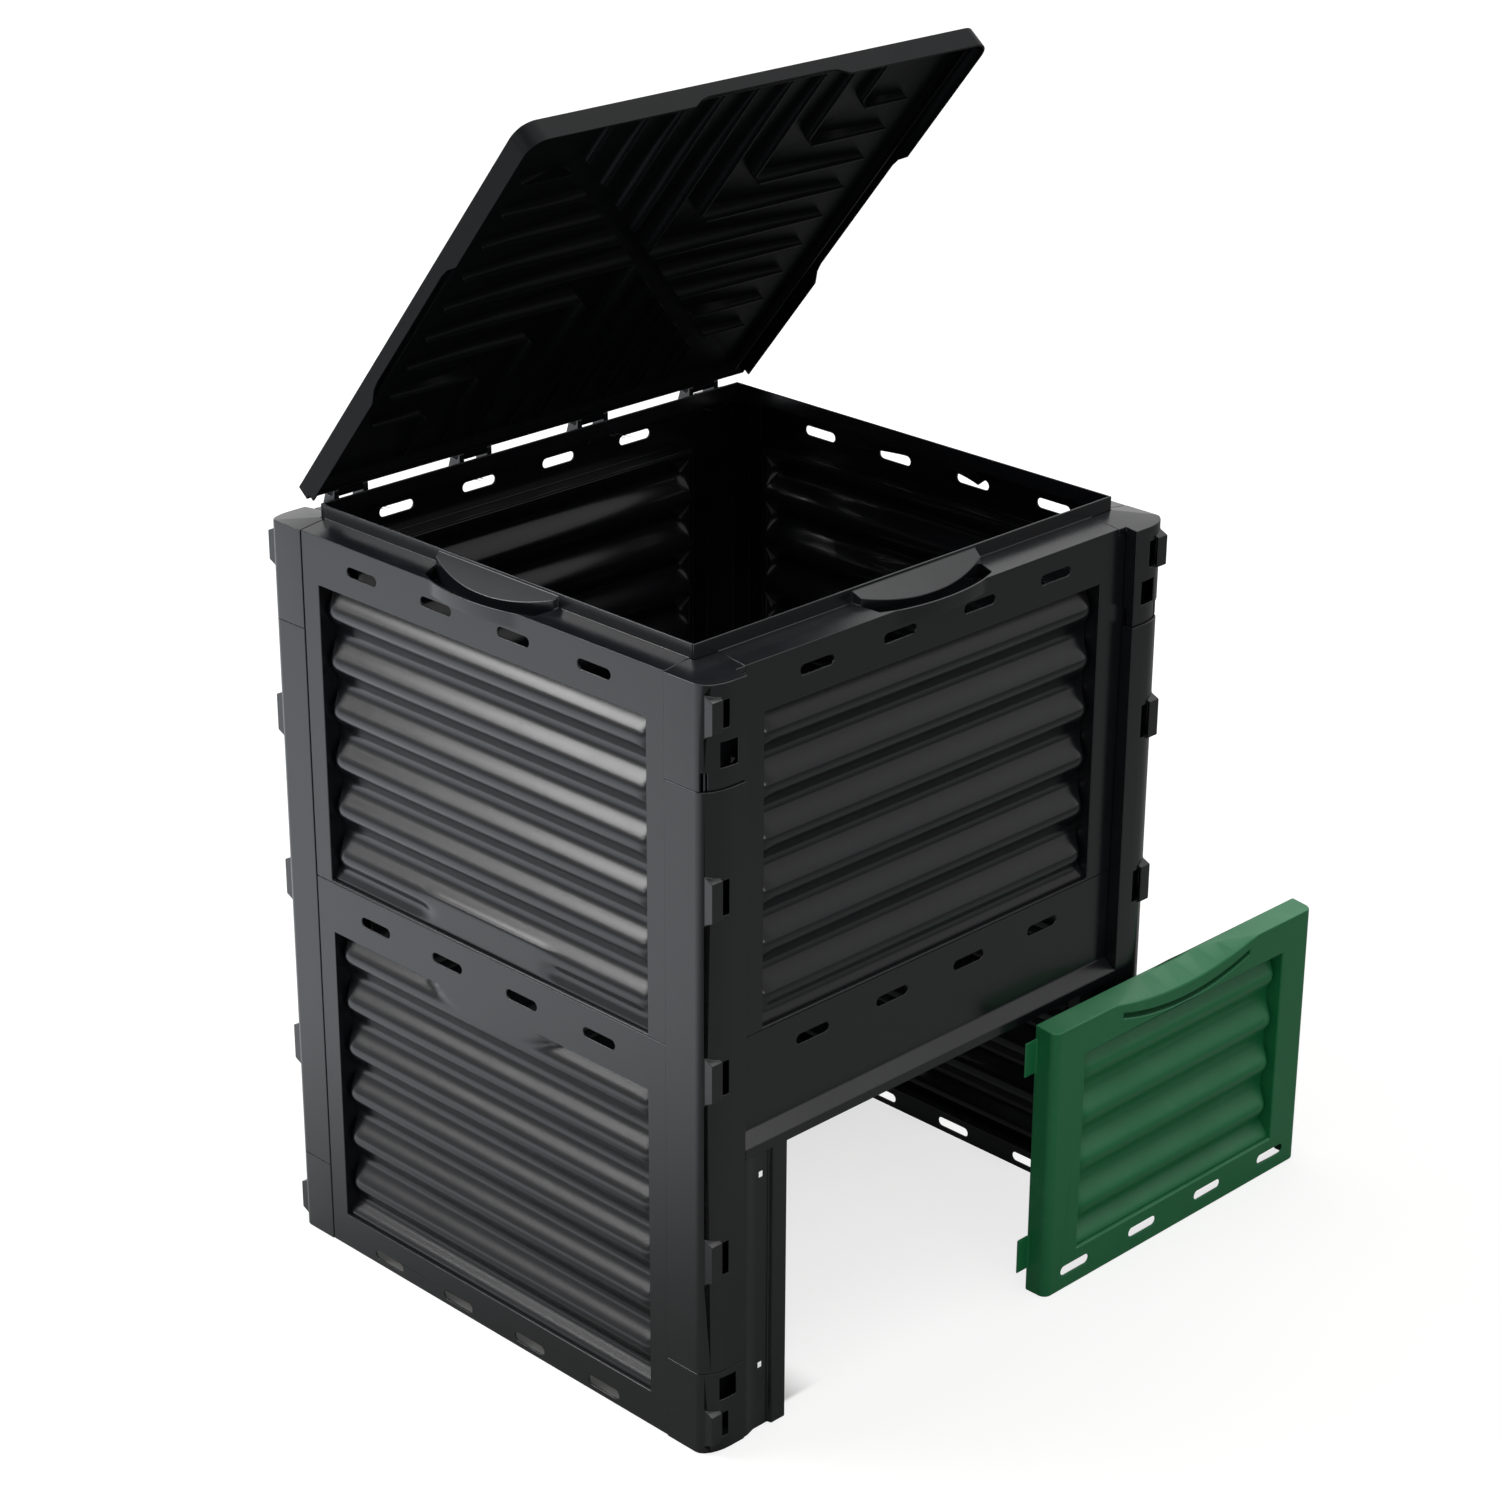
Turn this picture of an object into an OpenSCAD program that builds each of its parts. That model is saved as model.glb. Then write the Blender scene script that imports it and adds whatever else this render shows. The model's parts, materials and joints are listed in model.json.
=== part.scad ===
// Square garden compost bin: corrugated panels held in three-piece corner posts,
// a hinged lid standing open and a lift-out hatch door standing beside the bin.
// Millimetres, Z up, front towards -Y. Built about the bin's own centre line, then
// moved so that the origin lies under the middle of everything that stands there.

/* [Bin] */
// Width of the bin over the side strips of its corner posts
bin_w = 622; // [560:1:700]
// Depth of the bin over the bulge of its corner posts
bin_d = 610; // [560:1:700]
// Height of the rim above the ground
rim_h = 797; // [760:1:860]
// Height where the upper panels stand on the lower ones
mid_seam_h = 416; // [400:1:440]
// Wall thickness of the moulded panels and posts
wall = 2.2; // [2:0.1:3]
// Gap left between two moulded pieces that lie against each other
seam_gap = 0.3; // [0.2:0.05:0.5]

/* [Rim] */
// Outer width of the upright lip round the mouth
lip_w = 560; // [500:1:570]
// Outer depth of the upright lip round the mouth
lip_d = 514; // [480:1:530]
// Height of the lip above the shelf that it stands on
lip_h = 14; // [10:1:20]
// Drop of the shelf from the lip to the panel face
shelf_drop = 4; // [2:0.5:8]
// How far the caps of the front corners reach inwards over the shelf
shelf_step = 11; // [8:1:16]
// Width of the finger scoop along the lip
scoop_w = 170; // [150:1:190]
// Radius of the scoop's outer wall, seen from above
scoop_r = 222; // [205:1:250]
// How far the scoop bulges out over the panel face
scoop_bulge = 9; // [7:0.5:10]
// Clear width of the scoop's curved channel
scoop_channel = 15; // [12:0.5:20]
// Depth of the scoop below the shelf
scoop_depth = 12; // [8:1:16]

/* [Panels] */
// How far the front and back panel faces lie behind the bulge of the posts
front_set_back = 14; // [11:0.5:18]
// How far the side panel faces lie behind the side strips of the posts
side_set_back = 1; // [0.5:0.1:1.5]
// Width of the corrugated field
field_w = 454; // [400:1:470]
// Height of the flat band over the field of an upper panel
upper_band_h = 50; // [44:1:60]
// Height of the flat band over the field of a lower panel
lower_band_h = 54; // [44:1:60]
// Height of the flat band under the field of a lower panel
foot_band_h = 38; // [30:1:46]
// Width of the bare plate at the foot of an upper side panel
plate_w = 170; // [120:1:220]
// Height of the bare plate at the foot of an upper side panel
plate_h = 35; // [24:1:50]
// Width of the bulge that hangs from a lower panel's top band
drop_w = 176; // [120:1:220]
// Height of the bulge that hangs from a lower panel's top band
drop_h = 26; // [12:1:34]

/* [Corrugation] */
// Distance from one wave to the next
wave_pitch = 51.75; // [40:0.25:64]
// Depth of a wave from crest to trough
wave_depth = 13; // [8:0.5:15]
// Depth of the crests behind the panel face
crest_depth = 4; // [2:0.5:6]
// Distance of the first crest below the top of a field
first_crest = 26; // [8:0.5:32]
// Straight facets in one wave
wave_steps = 12; // [8:2:16]

/* [Vent slots] */
// Length of a vent slot
slot_l = 43; // [30:1:60]
// Height of a vent slot
slot_h = 10; // [7:0.5:13]
// Distance from one vent slot to the next
slot_pitch = 107.4; // [80:0.1:112]
// Height of the slots above the field of an upper panel
upper_slot_rise = 26; // [18:1:36]
// Height of the slots above the field of a lower panel
lower_slot_rise = 27; // [18:1:36]
// Height of the lowest slots above the ground
foot_slot_h = 11; // [9:0.5:16]

/* [Corner posts] */
// Width of a post's front flange
post_front_w = 49; // [44:1:56]
// Width of a post's side strip, measured from the bulge
post_side_w = 54; // [50:1:60]
// Run of the bulge's rounded edge along the front
bulge_round_x = 31; // [20:1:34]
// Run of the bulge's rounded edge along the side
bulge_round_y = 16; // [12:1:20]
// Height of the seam between the long post and the top corner
top_seam_h = 678; // [650:1:700]
// Height of the seam between the bottom corner and the long post
foot_seam_h = 87; // [82:1:110]
// Exposed height of the lap above the upper seam
lap_h = 18; // [10:1:24]
// Length of the spigots that join the pieces of a post
spigot_l = 12; // [8:1:20]
// Distance of the lock hoods from the side of the bin
window_inset = 4.5; // [4:0.5:7]
// Width of a lock hood
hood_w = 13.5; // [11:0.5:15]
// How far a lock hood stands proud of the bulge
hood_proud = 2; // [1:0.25:2.5]
// Clear width of the slot beside a lock hood
window_w = 10; // [8:1:12]
// Height of the lock hoods of the long post
window_h = 48; // [36:1:56]
// Height of the lock hoods of the end corners
end_window_h = 40; // [30:1:46]
// Height of the lowest lock hood's foot in the long post
window_1_h = 184; // [150:1:230]
// Height of the middle lock hood's foot
window_2_h = 371; // [300:1:420]
// Height of the upper lock hood's foot
window_3_h = 550; // [500:1:600]
// Width of the square hole in each end corner
key_hole_w = 20; // [14:1:24]
// Height of the square hole in each end corner
key_hole_h = 24; // [14:1:26]
// Distance of the square hole from the side of the bin
key_inset = 18; // [14:1:26]

/* [Hatchway] */
// Clear width of the hatchway between the jambs
hatch_w = 416; // [360:1:430]
// Clear height of the hatchway
hatch_h = 300; // [270:1:320]
// Width of the raised face of a jamb, which the door's tabs lie on
jamb_face_w = 18; // [14:1:20]
// Depth of the groove between the jamb face and the post
jamb_groove = 4.5; // [3:0.5:6]
// Height of the straight lip over the hatchway
hatch_lip_h = 10; // [6:1:16]
// Height of the slope that joins that lip to the panel face
hatch_slope_h = 10; // [6:1:16]
// Width of the small latch holes in the jambs
latch_hole_w = 6; // [4:0.5:8]
// Height of the small latch holes in the jambs
latch_hole_h = 7; // [5:0.5:9]
// Height of the upper latch holes
latch_hole_top = 274; // [240:1:280]
// Height of the lower latch holes
latch_hole_foot = 68; // [50:1:100]

/* [Door] */
// Width of the door without its tabs
door_w = 413; // [370:1:415]
// Height of the door at its back
door_h = 302; // [290:1:320]
// Thickness of the door
door_t = 26.5; // [24:0.5:30]
// Drop of the door's top from back to front at its ends
door_top_drop = 3; // [2:0.5:6]
// Width of the dip in the middle of the door's front top edge
dip_w = 232; // [200:1:260]
// Depth of the dip in the middle of the door's front top edge
dip_depth = 15; // [12:0.5:15]
// Radius of the door's upright edges
door_edge_r = 9; // [6:0.5:12]
// Width of the plain margin beside the door's field
door_margin = 47; // [40:1:60]
// Height of the foot of the door's field
door_field_foot = 40; // [34:1:50]
// Height of the top of the door's field
door_field_top = 262; // [240:1:270]
// Height of the slots in the door
door_slot_h = 21; // [16:1:26]
// Length of a door tab beyond the side of the door
tab_l = 16; // [12:1:18]
// Height of a door tab
tab_h = 38; // [30:1:44]
// Height of the lower tabs' lower edge
foot_tab_h = 26; // [20:1:40]
// Height of the upper tabs' lower edge
top_tab_h = 249; // [220:1:254]
// Width of the finger groove under the door's top edge
grip_w = 204; // [150:1:240]
// How far the finger groove dips in its middle
grip_dip = 16; // [12:1:18]
// Height of the finger groove
grip_h = 6; // [5.5:0.5:7]
// Plain strip between the door's field and the finger groove
grip_strip = 2.5; // [2.4:0.1:3]
// Depth of the finger groove
grip_depth = 12; // [8:1:16]
// Distance of the standing door from the bin's middle, to the right
door_x = 333; // [320:1:380]
// Distance of the standing door's back in front of the post bulge
door_stand_off = 12; // [11:0.5:20]

/* [Lid] */
// Width of the lid
lid_w = 586; // [570:1:600]
// Length of the lid from the hinge axis to its front edge
lid_l = 532; // [530:1:540]
// Height of the lid's skirt
skirt_h = 22; // [18:1:26]
// Rise of the lid's four slopes to the middle
lid_rise = 15; // [8:1:24]
// Wall thickness of the lid
lid_wall = 2.2; // [2:0.1:3]
// Radius of the lid's front corners
lid_corner_r = 20; // [12:1:30]
// Angle from the closed lid to the lid as it stands
lid_open = 51; // [0:1:100]
// Thickness of the ribs under the lid
rib_t = 2.4; // [2:0.1:3]
// Height of the ribs under the lid
rib_h = 6; // [4:0.5:8]
// Distance from one rib to the next
rib_pitch = 44; // [36:1:60]
// Depth of the wavy cut in the middle of the skirt
skirt_cut = 8; // [4:0.5:10]

/* [Lid hinge] */
// Height of the hinge axis above the rim
axis_rise = 3; // [2:0.5:6]
// Distance of the hinge axis behind the lip
axis_behind_lip = 13; // [12:0.5:15]
// Distance from one knuckle to the next
knuckle_pitch = 158; // [140:1:165]
// Length of a knuckle of the lid
knuckle_l = 28; // [20:1:36]
// Diameter of a knuckle
knuckle_d = 13; // [12:0.5:14]
// Diameter of the round pegs on the knuckles
peg_d = 8; // [7:0.5:8.5]
// Radial play of a peg in its ear
peg_play = 0.08; // [0.05:0.01:0.1]
// Thickness of the ears that carry the pegs
ear_t = 6; // [4:0.5:8]
// Radius of the ears round the pegs
ear_r = 7; // [6.5:0.1:7.5]

/* [Hidden] */

black_plastic = "#2b2d30";
green_plastic = "#2a6b47";
round_fn = 48;
cut_over = 2;
weld = 1;

front_face = bin_d / 2 - front_set_back;
side_face = bin_w / 2 - side_set_back;
shelf_h = rim_h - lip_h;
band_top_h = shelf_h - shelf_drop;
upper_field_top = band_top_h - upper_band_h;
lower_field_top = mid_seam_h - lower_band_h;
upper_foot = mid_seam_h + seam_gap;
recess_depth = crest_depth + wave_depth + wall + weld;
post_inner_x = bin_w / 2 - post_front_w;
post_inner_y = bin_d / 2 - post_side_w;
rib_line = bin_w / 2 - 2 * wall - 2 * seam_gap;
groove_rib_t = 2.5;
groove_rib_l = 10;
tongue_top = band_top_h - 6;
end_window_foot_h = 8;
key_clearance = 3;
hood_slope = 5;
hood_end = 7;
lock_depth = 9;
scoop_end_slant = 12;
apron_drop = 2;
bulge_steps = 6;
lap_step = 11;
cap_t = 5;
side_tongue_x = bin_w / 2 - wall - seam_gap;
hatch_field_z = hatch_h + hatch_lip_h + hatch_slope_h;

axis_y = lip_d / 2 + axis_behind_lip;
axis_z = rim_h + axis_rise;
knuckle_gap = 1;
ear_web_h = 3;
lid_back = knuckle_d / 2 + 1.5;
lid_rest_gap = 0.4;
skirt_foot = -12;
// Run of the skirt's wavy cut beyond the scoop
wave_run = 14;
// Place of the cut's shoulder beyond the scoop's end
shoulder_out = 2;
// Place inside the scoop's end where the cut is full
shoulder_in = 8;
// Share of the cut's height at its shoulder
shoulder_rise = 0.8;
// Wall round the door's finger groove
groove_wall = 1.2;
// Height over the door's back edge at which the dip would end
dip_ledge = 0.3;
// Radius of an arc of width w that dips by d in its middle
function arc_radius(w, d) = (pow(w / 2, 2) + pow(d, 2)) / (2 * d);
lid_middle = -(lid_l + lid_back) / 2;
lid_half = (lid_l - lid_back) / 2;
rib_edge_gap = 16;
rib_centre_gap = 12;
shortest_rib = 20;
bead_h = 30;
knuckle_arm_h = 8;

door_reach = door_w / 2 + tab_l;
origin_x = (door_x + door_reach - max(bin_w / 2, side_face + scoop_bulge)) / 2;
origin_y = (hood_proud - door_stand_off - door_t) / 2;

// Right-hand normal of the line from a to b.
function right_of(a, b) = [b[1] - a[1], a[0] - b[0]] / norm(b - a);

// Mitred normal of path p at point i.
function mitre(p, i) =
    let (n = len(p) - 1,
         u = right_of(p[max(i - 1, 0)], p[max(i, 1)]),
         v = right_of(p[min(i, n - 1)], p[min(i + 1, n)]))
    (u + v) / (1 + u * v);

// Path p moved to its right by t.
function beside(p, t) = [for (i = [0:len(p) - 1]) p[i] + t * mitre(p, i)];

function reversed(p) = [for (i = [len(p) - 1:-1:0]) p[i]];

// Closed outline of a wall of thickness t on the right of path p.
function walled(p, t) = concat(p, reversed(beside(p, t)));

// Depth of the corrugation behind the panel face, at drop s below the field's top.
function wave_at(s) =
    crest_depth + wave_depth * (1 - cos(360 * (s - first_crest) / wave_pitch)) / 2;

// Upright path of the corrugation from height z0 to z1, in a field whose top is at top.
function wave_path(z0, z1, top) =
    let (count = ceil((z1 - z0) / wave_pitch * wave_steps))
    [for (i = [0:count]) let (z = z0 + (z1 - z0) * i / count) [wave_at(top - z), z]];

// A flat outline in (depth, height), drawn out along X over width w.
module along_x(w) {
    translate([-w / 2, 0, 0])
    rotate([90, 0, 90])
    linear_extrude(w)
    children();
}

// A flat outline in (x, height), drawn out along Y from y0 over depth t.
module along_y(y0, t) {
    translate([0, y0 + t, 0])
    rotate([90, 0, 0])
    linear_extrude(t)
    children();
}

// A box from its lowest to its highest corner.
module box_between(low, high) {
    translate(low)
    cube(high - low);
}

module slot_outline() {
    square([slot_l - slot_h, slot_h], center = true);
    for (side = [-1, 1])
        translate([side * (slot_l - slot_h) / 2, 0])
        circle(d = slot_h, $fn = round_fn);
}

// The row of four vent slots at height z, cut through depth t from the face.
module slot_row(z, t) {
    for (i = [-1.5:1:1.5])
        translate([i * slot_pitch, 0, z])
        along_y(-cut_over, t + 2 * cut_over)
        slot_outline();
}

// Sheet of the corrugated field, welded into the walls of its recess.
module wave_sheet(w, z0, z1) {
    along_x(w + 2 * weld)
    polygon(walled(wave_path(z0 - weld, z1 + weld, z1), wall));
}

// Walls of the recess round a corrugated field, with the field still solid.
module recess_block(w, z0, z1) {
    box_between([-w / 2 - wall, 0, z0 - wall], [w / 2 + wall, recess_depth, z1 + wall]);
}

module recess_window(w, z0, z1) {
    box_between([-w / 2, -cut_over, z0], [w / 2, recess_depth + cut_over, z1]);
}

// Edge of a front or back panel, which reaches in behind the bulge of the posts.
module flat_tongues(z0, z1) {
    reach = rib_line - groove_rib_t - seam_gap;
    root = post_inner_x - shelf_step - wall;
    for (side = [-1, 1])
        translate([side * (root + reach) / 2, wall / 2, (z0 + z1) / 2])
        cube([reach - root, wall, z1 - z0], center = true);
}

// Edge of a side panel, stepped in behind the side strips of the posts.
module stepped_tongues(z0, z1) {
    inner = side_tongue_x - wall;
    step_y = post_inner_y - seam_gap;
    reach = front_face - wall - 2 * seam_gap - groove_rib_t;
    for (side = [0, 1])
        mirror([side, 0, 0]) {
            box_between([step_y - wall, 0, z0], [step_y, side_face - inner, z1]);
            box_between([step_y - weld, side_face - side_tongue_x, z0],
                        [reach, side_face - inner, z1]);
        }
}

// Band, shelf and lip of an upper panel, whose lip stands at the given depth.
module rim_profile(lip_depth) {
    polygon(walled([
        [0, upper_field_top], [0, band_top_h], [lip_depth, shelf_h], [lip_depth, rim_h]
    ], wall));
}

module lip_strip(lip_depth, w) {
    box_between([-w / 2, lip_depth, shelf_h - wall], [w / 2, lip_depth + wall, rim_h]);
}

// Disc whose edge lies inside the scoop's outer wall by inset, seen from above.
module scoop_disc(inset) {
    translate([0, scoop_r - scoop_bulge])
    circle(r = scoop_r - inset, $fn = 360);
}

// Plan between the scoop's slanted ends, pulled in by inset.
module scoop_plan(inset, lip_depth) {
    half = scoop_w / 2 - inset;
    polygon([
        [-half, lip_depth], [-half + scoop_end_slant, -scoop_bulge - 1],
        [half - scoop_end_slant, -scoop_bulge - 1], [half, lip_depth]
    ]);
}

// Curved channel of the scoop, seen from above, pulled in by inset.
module scoop_outline(inset, lip_depth) {
    intersection() {
        difference() {
            scoop_disc(inset);
            scoop_disc(2 * wall + scoop_channel - inset);
        }
        scoop_plan(inset, lip_depth);
    }
}

module scoop_block(lip_depth) {
    translate([0, 0, band_top_h - scoop_depth - wall])
    linear_extrude(scoop_depth + wall)
    scoop_outline(0, lip_depth);
}

module scoop_hollow(lip_depth) {
    translate([0, 0, band_top_h - scoop_depth])
    linear_extrude(scoop_depth + shelf_drop + cut_over)
    scoop_outline(wall, lip_depth);
}

// Slanted apron from the lip down to the channel's inner wall.
module scoop_apron(lip_depth) {
    inner_y = wall + scoop_channel - scoop_bulge;
    intersection() {
        translate([0, 0, band_top_h - wall])
        linear_extrude(lip_h + shelf_drop + wall)
        intersection() {
            scoop_disc(wall + scoop_channel);
            scoop_plan(wall, lip_depth + weld);
        }
        along_x(scoop_w)
        polygon([
            [inner_y - 1, band_top_h - wall], [inner_y - 1, band_top_h],
            [lip_depth + weld, rim_h - apron_drop], [lip_depth + weld, band_top_h - wall]
        ]);
    }
}

// Upper panel in its own frame: face at y = 0, inside towards +y.
module upper_panel(half_band, lip_depth, lip_width, with_scoop, with_plate) {
    field_foot = upper_foot + wall;
    difference() {
        union() {
            box_between([-half_band, 0, upper_foot], [half_band, wall, upper_field_top + weld]);
            recess_block(field_w, field_foot, upper_field_top);
            along_x(2 * half_band)
            rim_profile(lip_depth);
            lip_strip(lip_depth, lip_width);
            if (with_scoop) {
                scoop_block(lip_depth);
                scoop_apron(lip_depth);
            }
        }
        recess_window(field_w, field_foot, upper_field_top);
        slot_row(upper_field_top + upper_slot_rise, wall);
        if (with_scoop) scoop_hollow(lip_depth);
    }
    wave_sheet(field_w, field_foot, upper_field_top);
    if (with_plate)
        box_between([-plate_w / 2, crest_depth, field_foot - weld],
                    [plate_w / 2, crest_depth + wall, field_foot - wall + plate_h]);
}

// Lower panel in its own frame.
module lower_panel(half_band) {
    difference() {
        union() {
            box_between([-half_band, 0, 0], [half_band, wall, mid_seam_h]);
            recess_block(field_w, foot_band_h, lower_field_top);
        }
        recess_window(field_w, foot_band_h, lower_field_top);
        slot_row(lower_field_top + lower_slot_rise, wall);
        slot_row(foot_slot_h, wall);
    }
    wave_sheet(field_w, foot_band_h, lower_field_top);
    along_y(0, wall)
    polygon([
        [-drop_w / 2, lower_field_top + weld], [-0.4 * drop_w, lower_field_top - 0.5 * drop_h],
        [-0.25 * drop_w, lower_field_top - 0.85 * drop_h], [0, lower_field_top - drop_h],
        [0.25 * drop_w, lower_field_top - 0.85 * drop_h],
        [0.4 * drop_w, lower_field_top - 0.5 * drop_h], [drop_w / 2, lower_field_top + weld]
    ]);
}

// Plan of a front left post: its outer line, from the panel face round to the side strip.
post_line = [
    [-post_inner_x, -front_face - seam_gap],
    [-post_inner_x, -bin_d / 2],
    for (i = [0:bulge_steps]) [
        -bin_w / 2 + bulge_round_x * (1 - sin(90 * i / bulge_steps)),
        -bin_d / 2 + bulge_round_y * (1 - cos(90 * i / bulge_steps))
    ],
    [-bin_w / 2, -post_inner_y]
];

// Shell of a post between two heights.
module post_shell(z0, z1, t = wall) {
    translate([0, 0, z0])
    linear_extrude(z1 - z0)
    polygon(walled(post_line, t));
}

// Ribs inside a post that grip the tongues of the two panels.
module post_ribs(z0, z1) {
    rib_front_y = front_face - wall - seam_gap;
    box_between([-rib_line, -bin_d / 2 + lock_depth, z0],
                [-rib_line + groove_rib_t, -post_inner_y - groove_rib_l, z1]);
    box_between([-rib_line + weld, -rib_front_y, z0],
                [-post_inner_x - wall, -rib_front_y + groove_rib_t, z1]);
}

// The part of a post's bulge that a spigot may fill.
module bulge_zone(z0, z1) {
    box_between([-rib_line + groove_rib_t + 1, -bin_d / 2 - 1, z0],
                [-post_inner_x - wall - 1, -front_face - seam_gap - wall, z1]);
}

// Spigot inside the bulge, from z0 to z1.
module spigot(z0, z1) {
    inset = wall + seam_gap;
    intersection() {
        translate([0, 0, z0])
        linear_extrude(z1 - z0)
        polygon(walled(beside(post_line, inset), wall));
        bulge_zone(z0, z1);
    }
}

// Solid ring that joins a spigot to its shell.
module spigot_ledge(z0, z1) {
    intersection() {
        post_shell(z0, z1, 2 * wall + seam_gap);
        bulge_zone(z0, z1);
    }
}

// Lock hood: a blister on the bulge that is open towards the post's middle.
module hood(z, h) {
    front = -bin_d / 2 - hood_proud;
    back = -bin_d / 2 + lock_depth;
    translate([-bin_w / 2 + window_inset, 0, 0])
    rotate([90, 0, 90])
    linear_extrude(hood_w)
    polygon([[back, z], [front, z + hood_slope], [front, z + h - hood_slope], [back, z + h]]);
}

// Hollow of a lock hood and the slot beside it.
module hood_hollow(z, h) {
    x = -bin_w / 2 + window_inset;
    x1 = x + hood_w + window_w;
    front = -bin_d / 2 - hood_proud;
    back = -bin_d / 2 + lock_depth + weld;
    box_between([x + wall, front + wall, z + hood_end], [x1, back, z + h - hood_end]);
    box_between([x + hood_w, front - cut_over, z + hood_end], [x1, back, z + h - hood_end]);
}

module key_window(z) {
    x = -bin_w / 2 + key_inset;
    box_between([x, -bin_d / 2 - cut_over, z],
                [x + key_hole_w, -bin_d / 2 + lock_depth + weld, z + key_hole_h]);
}

// Cap of a top corner: the shelf carried round the corner outside the lip, with its
// inner end past the front flange by step.
module shelf_corner(step) {
    x_rise = shelf_drop * (bin_w - lip_w) / (2 * side_face - lip_w);
    y_rise = shelf_drop * (bin_d - lip_d) / (2 * front_face - lip_d);
    foot = band_top_h - cap_t;
    difference() {
        intersection() {
            translate([0, 0, foot])
            linear_extrude(shelf_h - foot)
            polygon(concat(post_line, [[-post_inner_x + step, -post_inner_y],
                                       [-post_inner_x + step, -front_face - seam_gap]]));
            translate([-bin_w / 2, 0, 0])
            rotate([90, 0, 0])
            linear_extrude(bin_d)
            polygon([[0, foot], [0, shelf_h - x_rise], [(bin_w - lip_w) / 2, shelf_h],
                     [bin_w, shelf_h], [bin_w, foot]]);
            translate([-bin_w / 2, -bin_d / 2, 0])
            rotate([90, 0, 90])
            linear_extrude(bin_w)
            polygon([[0, foot], [0, shelf_h - y_rise], [(bin_d - lip_d) / 2, shelf_h],
                     [bin_d, shelf_h], [bin_d, foot]]);
        }
        box_between([-lip_w / 2 - seam_gap, -lip_d / 2 - seam_gap, foot - 1], [0, 0, rim_h]);
    }
}

// Top corner of the front left post, whose cap reaches inwards by step.
module top_corner(step) {
    lap_top = top_seam_h + lap_h;
    window_z = band_top_h - end_window_foot_h - wall - end_window_h;
    difference() {
        union() {
            post_shell(lap_top, band_top_h - cap_t / 2);
            intersection() {
                post_shell(top_seam_h + seam_gap, lap_top + weld);
                box_between([-bin_w, -bin_d / 2 + lap_step, 0], [-bin_w / 2 + wall + weld, 0, rim_h]);
            }
            spigot(top_seam_h - spigot_l, lap_top + weld);
            spigot_ledge(lap_top, lap_top + wall);
            post_ribs(top_seam_h + seam_gap, band_top_h - cap_t - seam_gap);
            hood(window_z, end_window_h);
        }
        hood_hollow(window_z, end_window_h);
        key_window(lap_top + key_clearance);
    }
    shelf_corner(step);
}

// Long middle piece of the front left post.
module long_post() {
    difference() {
        union() {
            post_shell(foot_seam_h + seam_gap, top_seam_h);
            post_ribs(foot_seam_h + seam_gap, top_seam_h);
            for (z = [window_1_h, window_2_h, window_3_h]) hood(z, window_h);
        }
        for (z = [window_1_h, window_2_h, window_3_h]) hood_hollow(z, window_h);
    }
}

// Foot of the front left post.
module foot_corner() {
    difference() {
        union() {
            post_shell(0, foot_seam_h);
            post_ribs(0, foot_seam_h);
            spigot_ledge(foot_seam_h - wall, foot_seam_h);
            spigot(foot_seam_h - weld, foot_seam_h + spigot_l);
            hood(end_window_foot_h, end_window_h);
        }
        hood_hollow(end_window_foot_h, end_window_h);
        key_window(foot_seam_h - 2 * wall - key_clearance - key_hole_h);
    }
}

// A corner piece turned to the corner with the given signs of x and y.
module at_corner(x_sign, y_sign) {
    mirror([x_sign > 0 ? 1 : 0, 0, 0])
    mirror([0, y_sign > 0 ? 1 : 0, 0])
    children();
}

// A panel turned to face the given way.
module facing_front() {
    translate([0, -front_face, 0])
    children();
}

module facing_back() {
    rotate([0, 0, 180])
    facing_front()
    children();
}

module facing_left() {
    translate([-side_face, 0, 0])
    rotate([0, 0, -90])
    children();
}

module facing_right() {
    rotate([0, 0, 180])
    facing_left()
    children();
}

// Moves what is built round the bin's middle to the common origin.
module placed() {
    translate([-origin_x, -origin_y, 0])
    children();
}

module front_type_upper(step, with_scoop) {
    upper_panel(post_inner_x - step - seam_gap, front_face - lip_d / 2, lip_w, with_scoop, false);
    flat_tongues(upper_foot, tongue_top);
}

module side_type_upper() {
    upper_panel(post_inner_y - seam_gap, side_face - lip_w / 2,
                lip_d - 2 * wall - 2 * seam_gap, true, true);
    stepped_tongues(upper_foot, tongue_top);
}

module side_type_lower() {
    lower_panel(post_inner_y - seam_gap);
    stepped_tongues(0, mid_seam_h);
}

// Places of the four knuckles along the hinge.
module at_knuckles() {
    for (i = [-1.5:1:1.5])
        translate([i * knuckle_pitch, 0, 0])
        children();
}

// Pair of bored ears on the shelf of the back panel, in the bin's own frame, each with a
// low web to the lip.
module hinge_ears() {
    inner = knuckle_l / 2 + knuckle_gap;
    root = shelf_h - wall / 2 - axis_z;
    at_knuckles()
    for (side = [-1, 1])
        translate([side * (inner + ear_t / 2), axis_y, axis_z])
        difference() {
            union() {
                rotate([0, 90, 0])
                cylinder(r = ear_r, h = ear_t, center = true, $fn = round_fn);
                along_x(ear_t)
                polygon([
                    [-ear_r, 0], [-ear_r, root + wall + ear_web_h],
                    [-axis_behind_lip - wall / 2, root + wall + ear_web_h],
                    [-axis_behind_lip - wall / 2, root - wall / 2],
                    [2 * ear_r, root - (wall + shelf_drop) / 2], [ear_r, 0]
                ]);
            }
            rotate([0, 90, 0])
            cylinder(d = peg_d + 2 * peg_play, h = ear_t + 2, center = true, $fn = round_fn);
        }
}

module upper_panel_front() {
    color(black_plastic)
    placed()
    facing_front()
    front_type_upper(shelf_step, true);
}

module upper_panel_back() {
    color(black_plastic)
    placed() {
        facing_back()
        front_type_upper(0, false);
        hinge_ears();
    }
}

module upper_panel_left() {
    color(black_plastic)
    placed()
    facing_left()
    side_type_upper();
}

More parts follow.
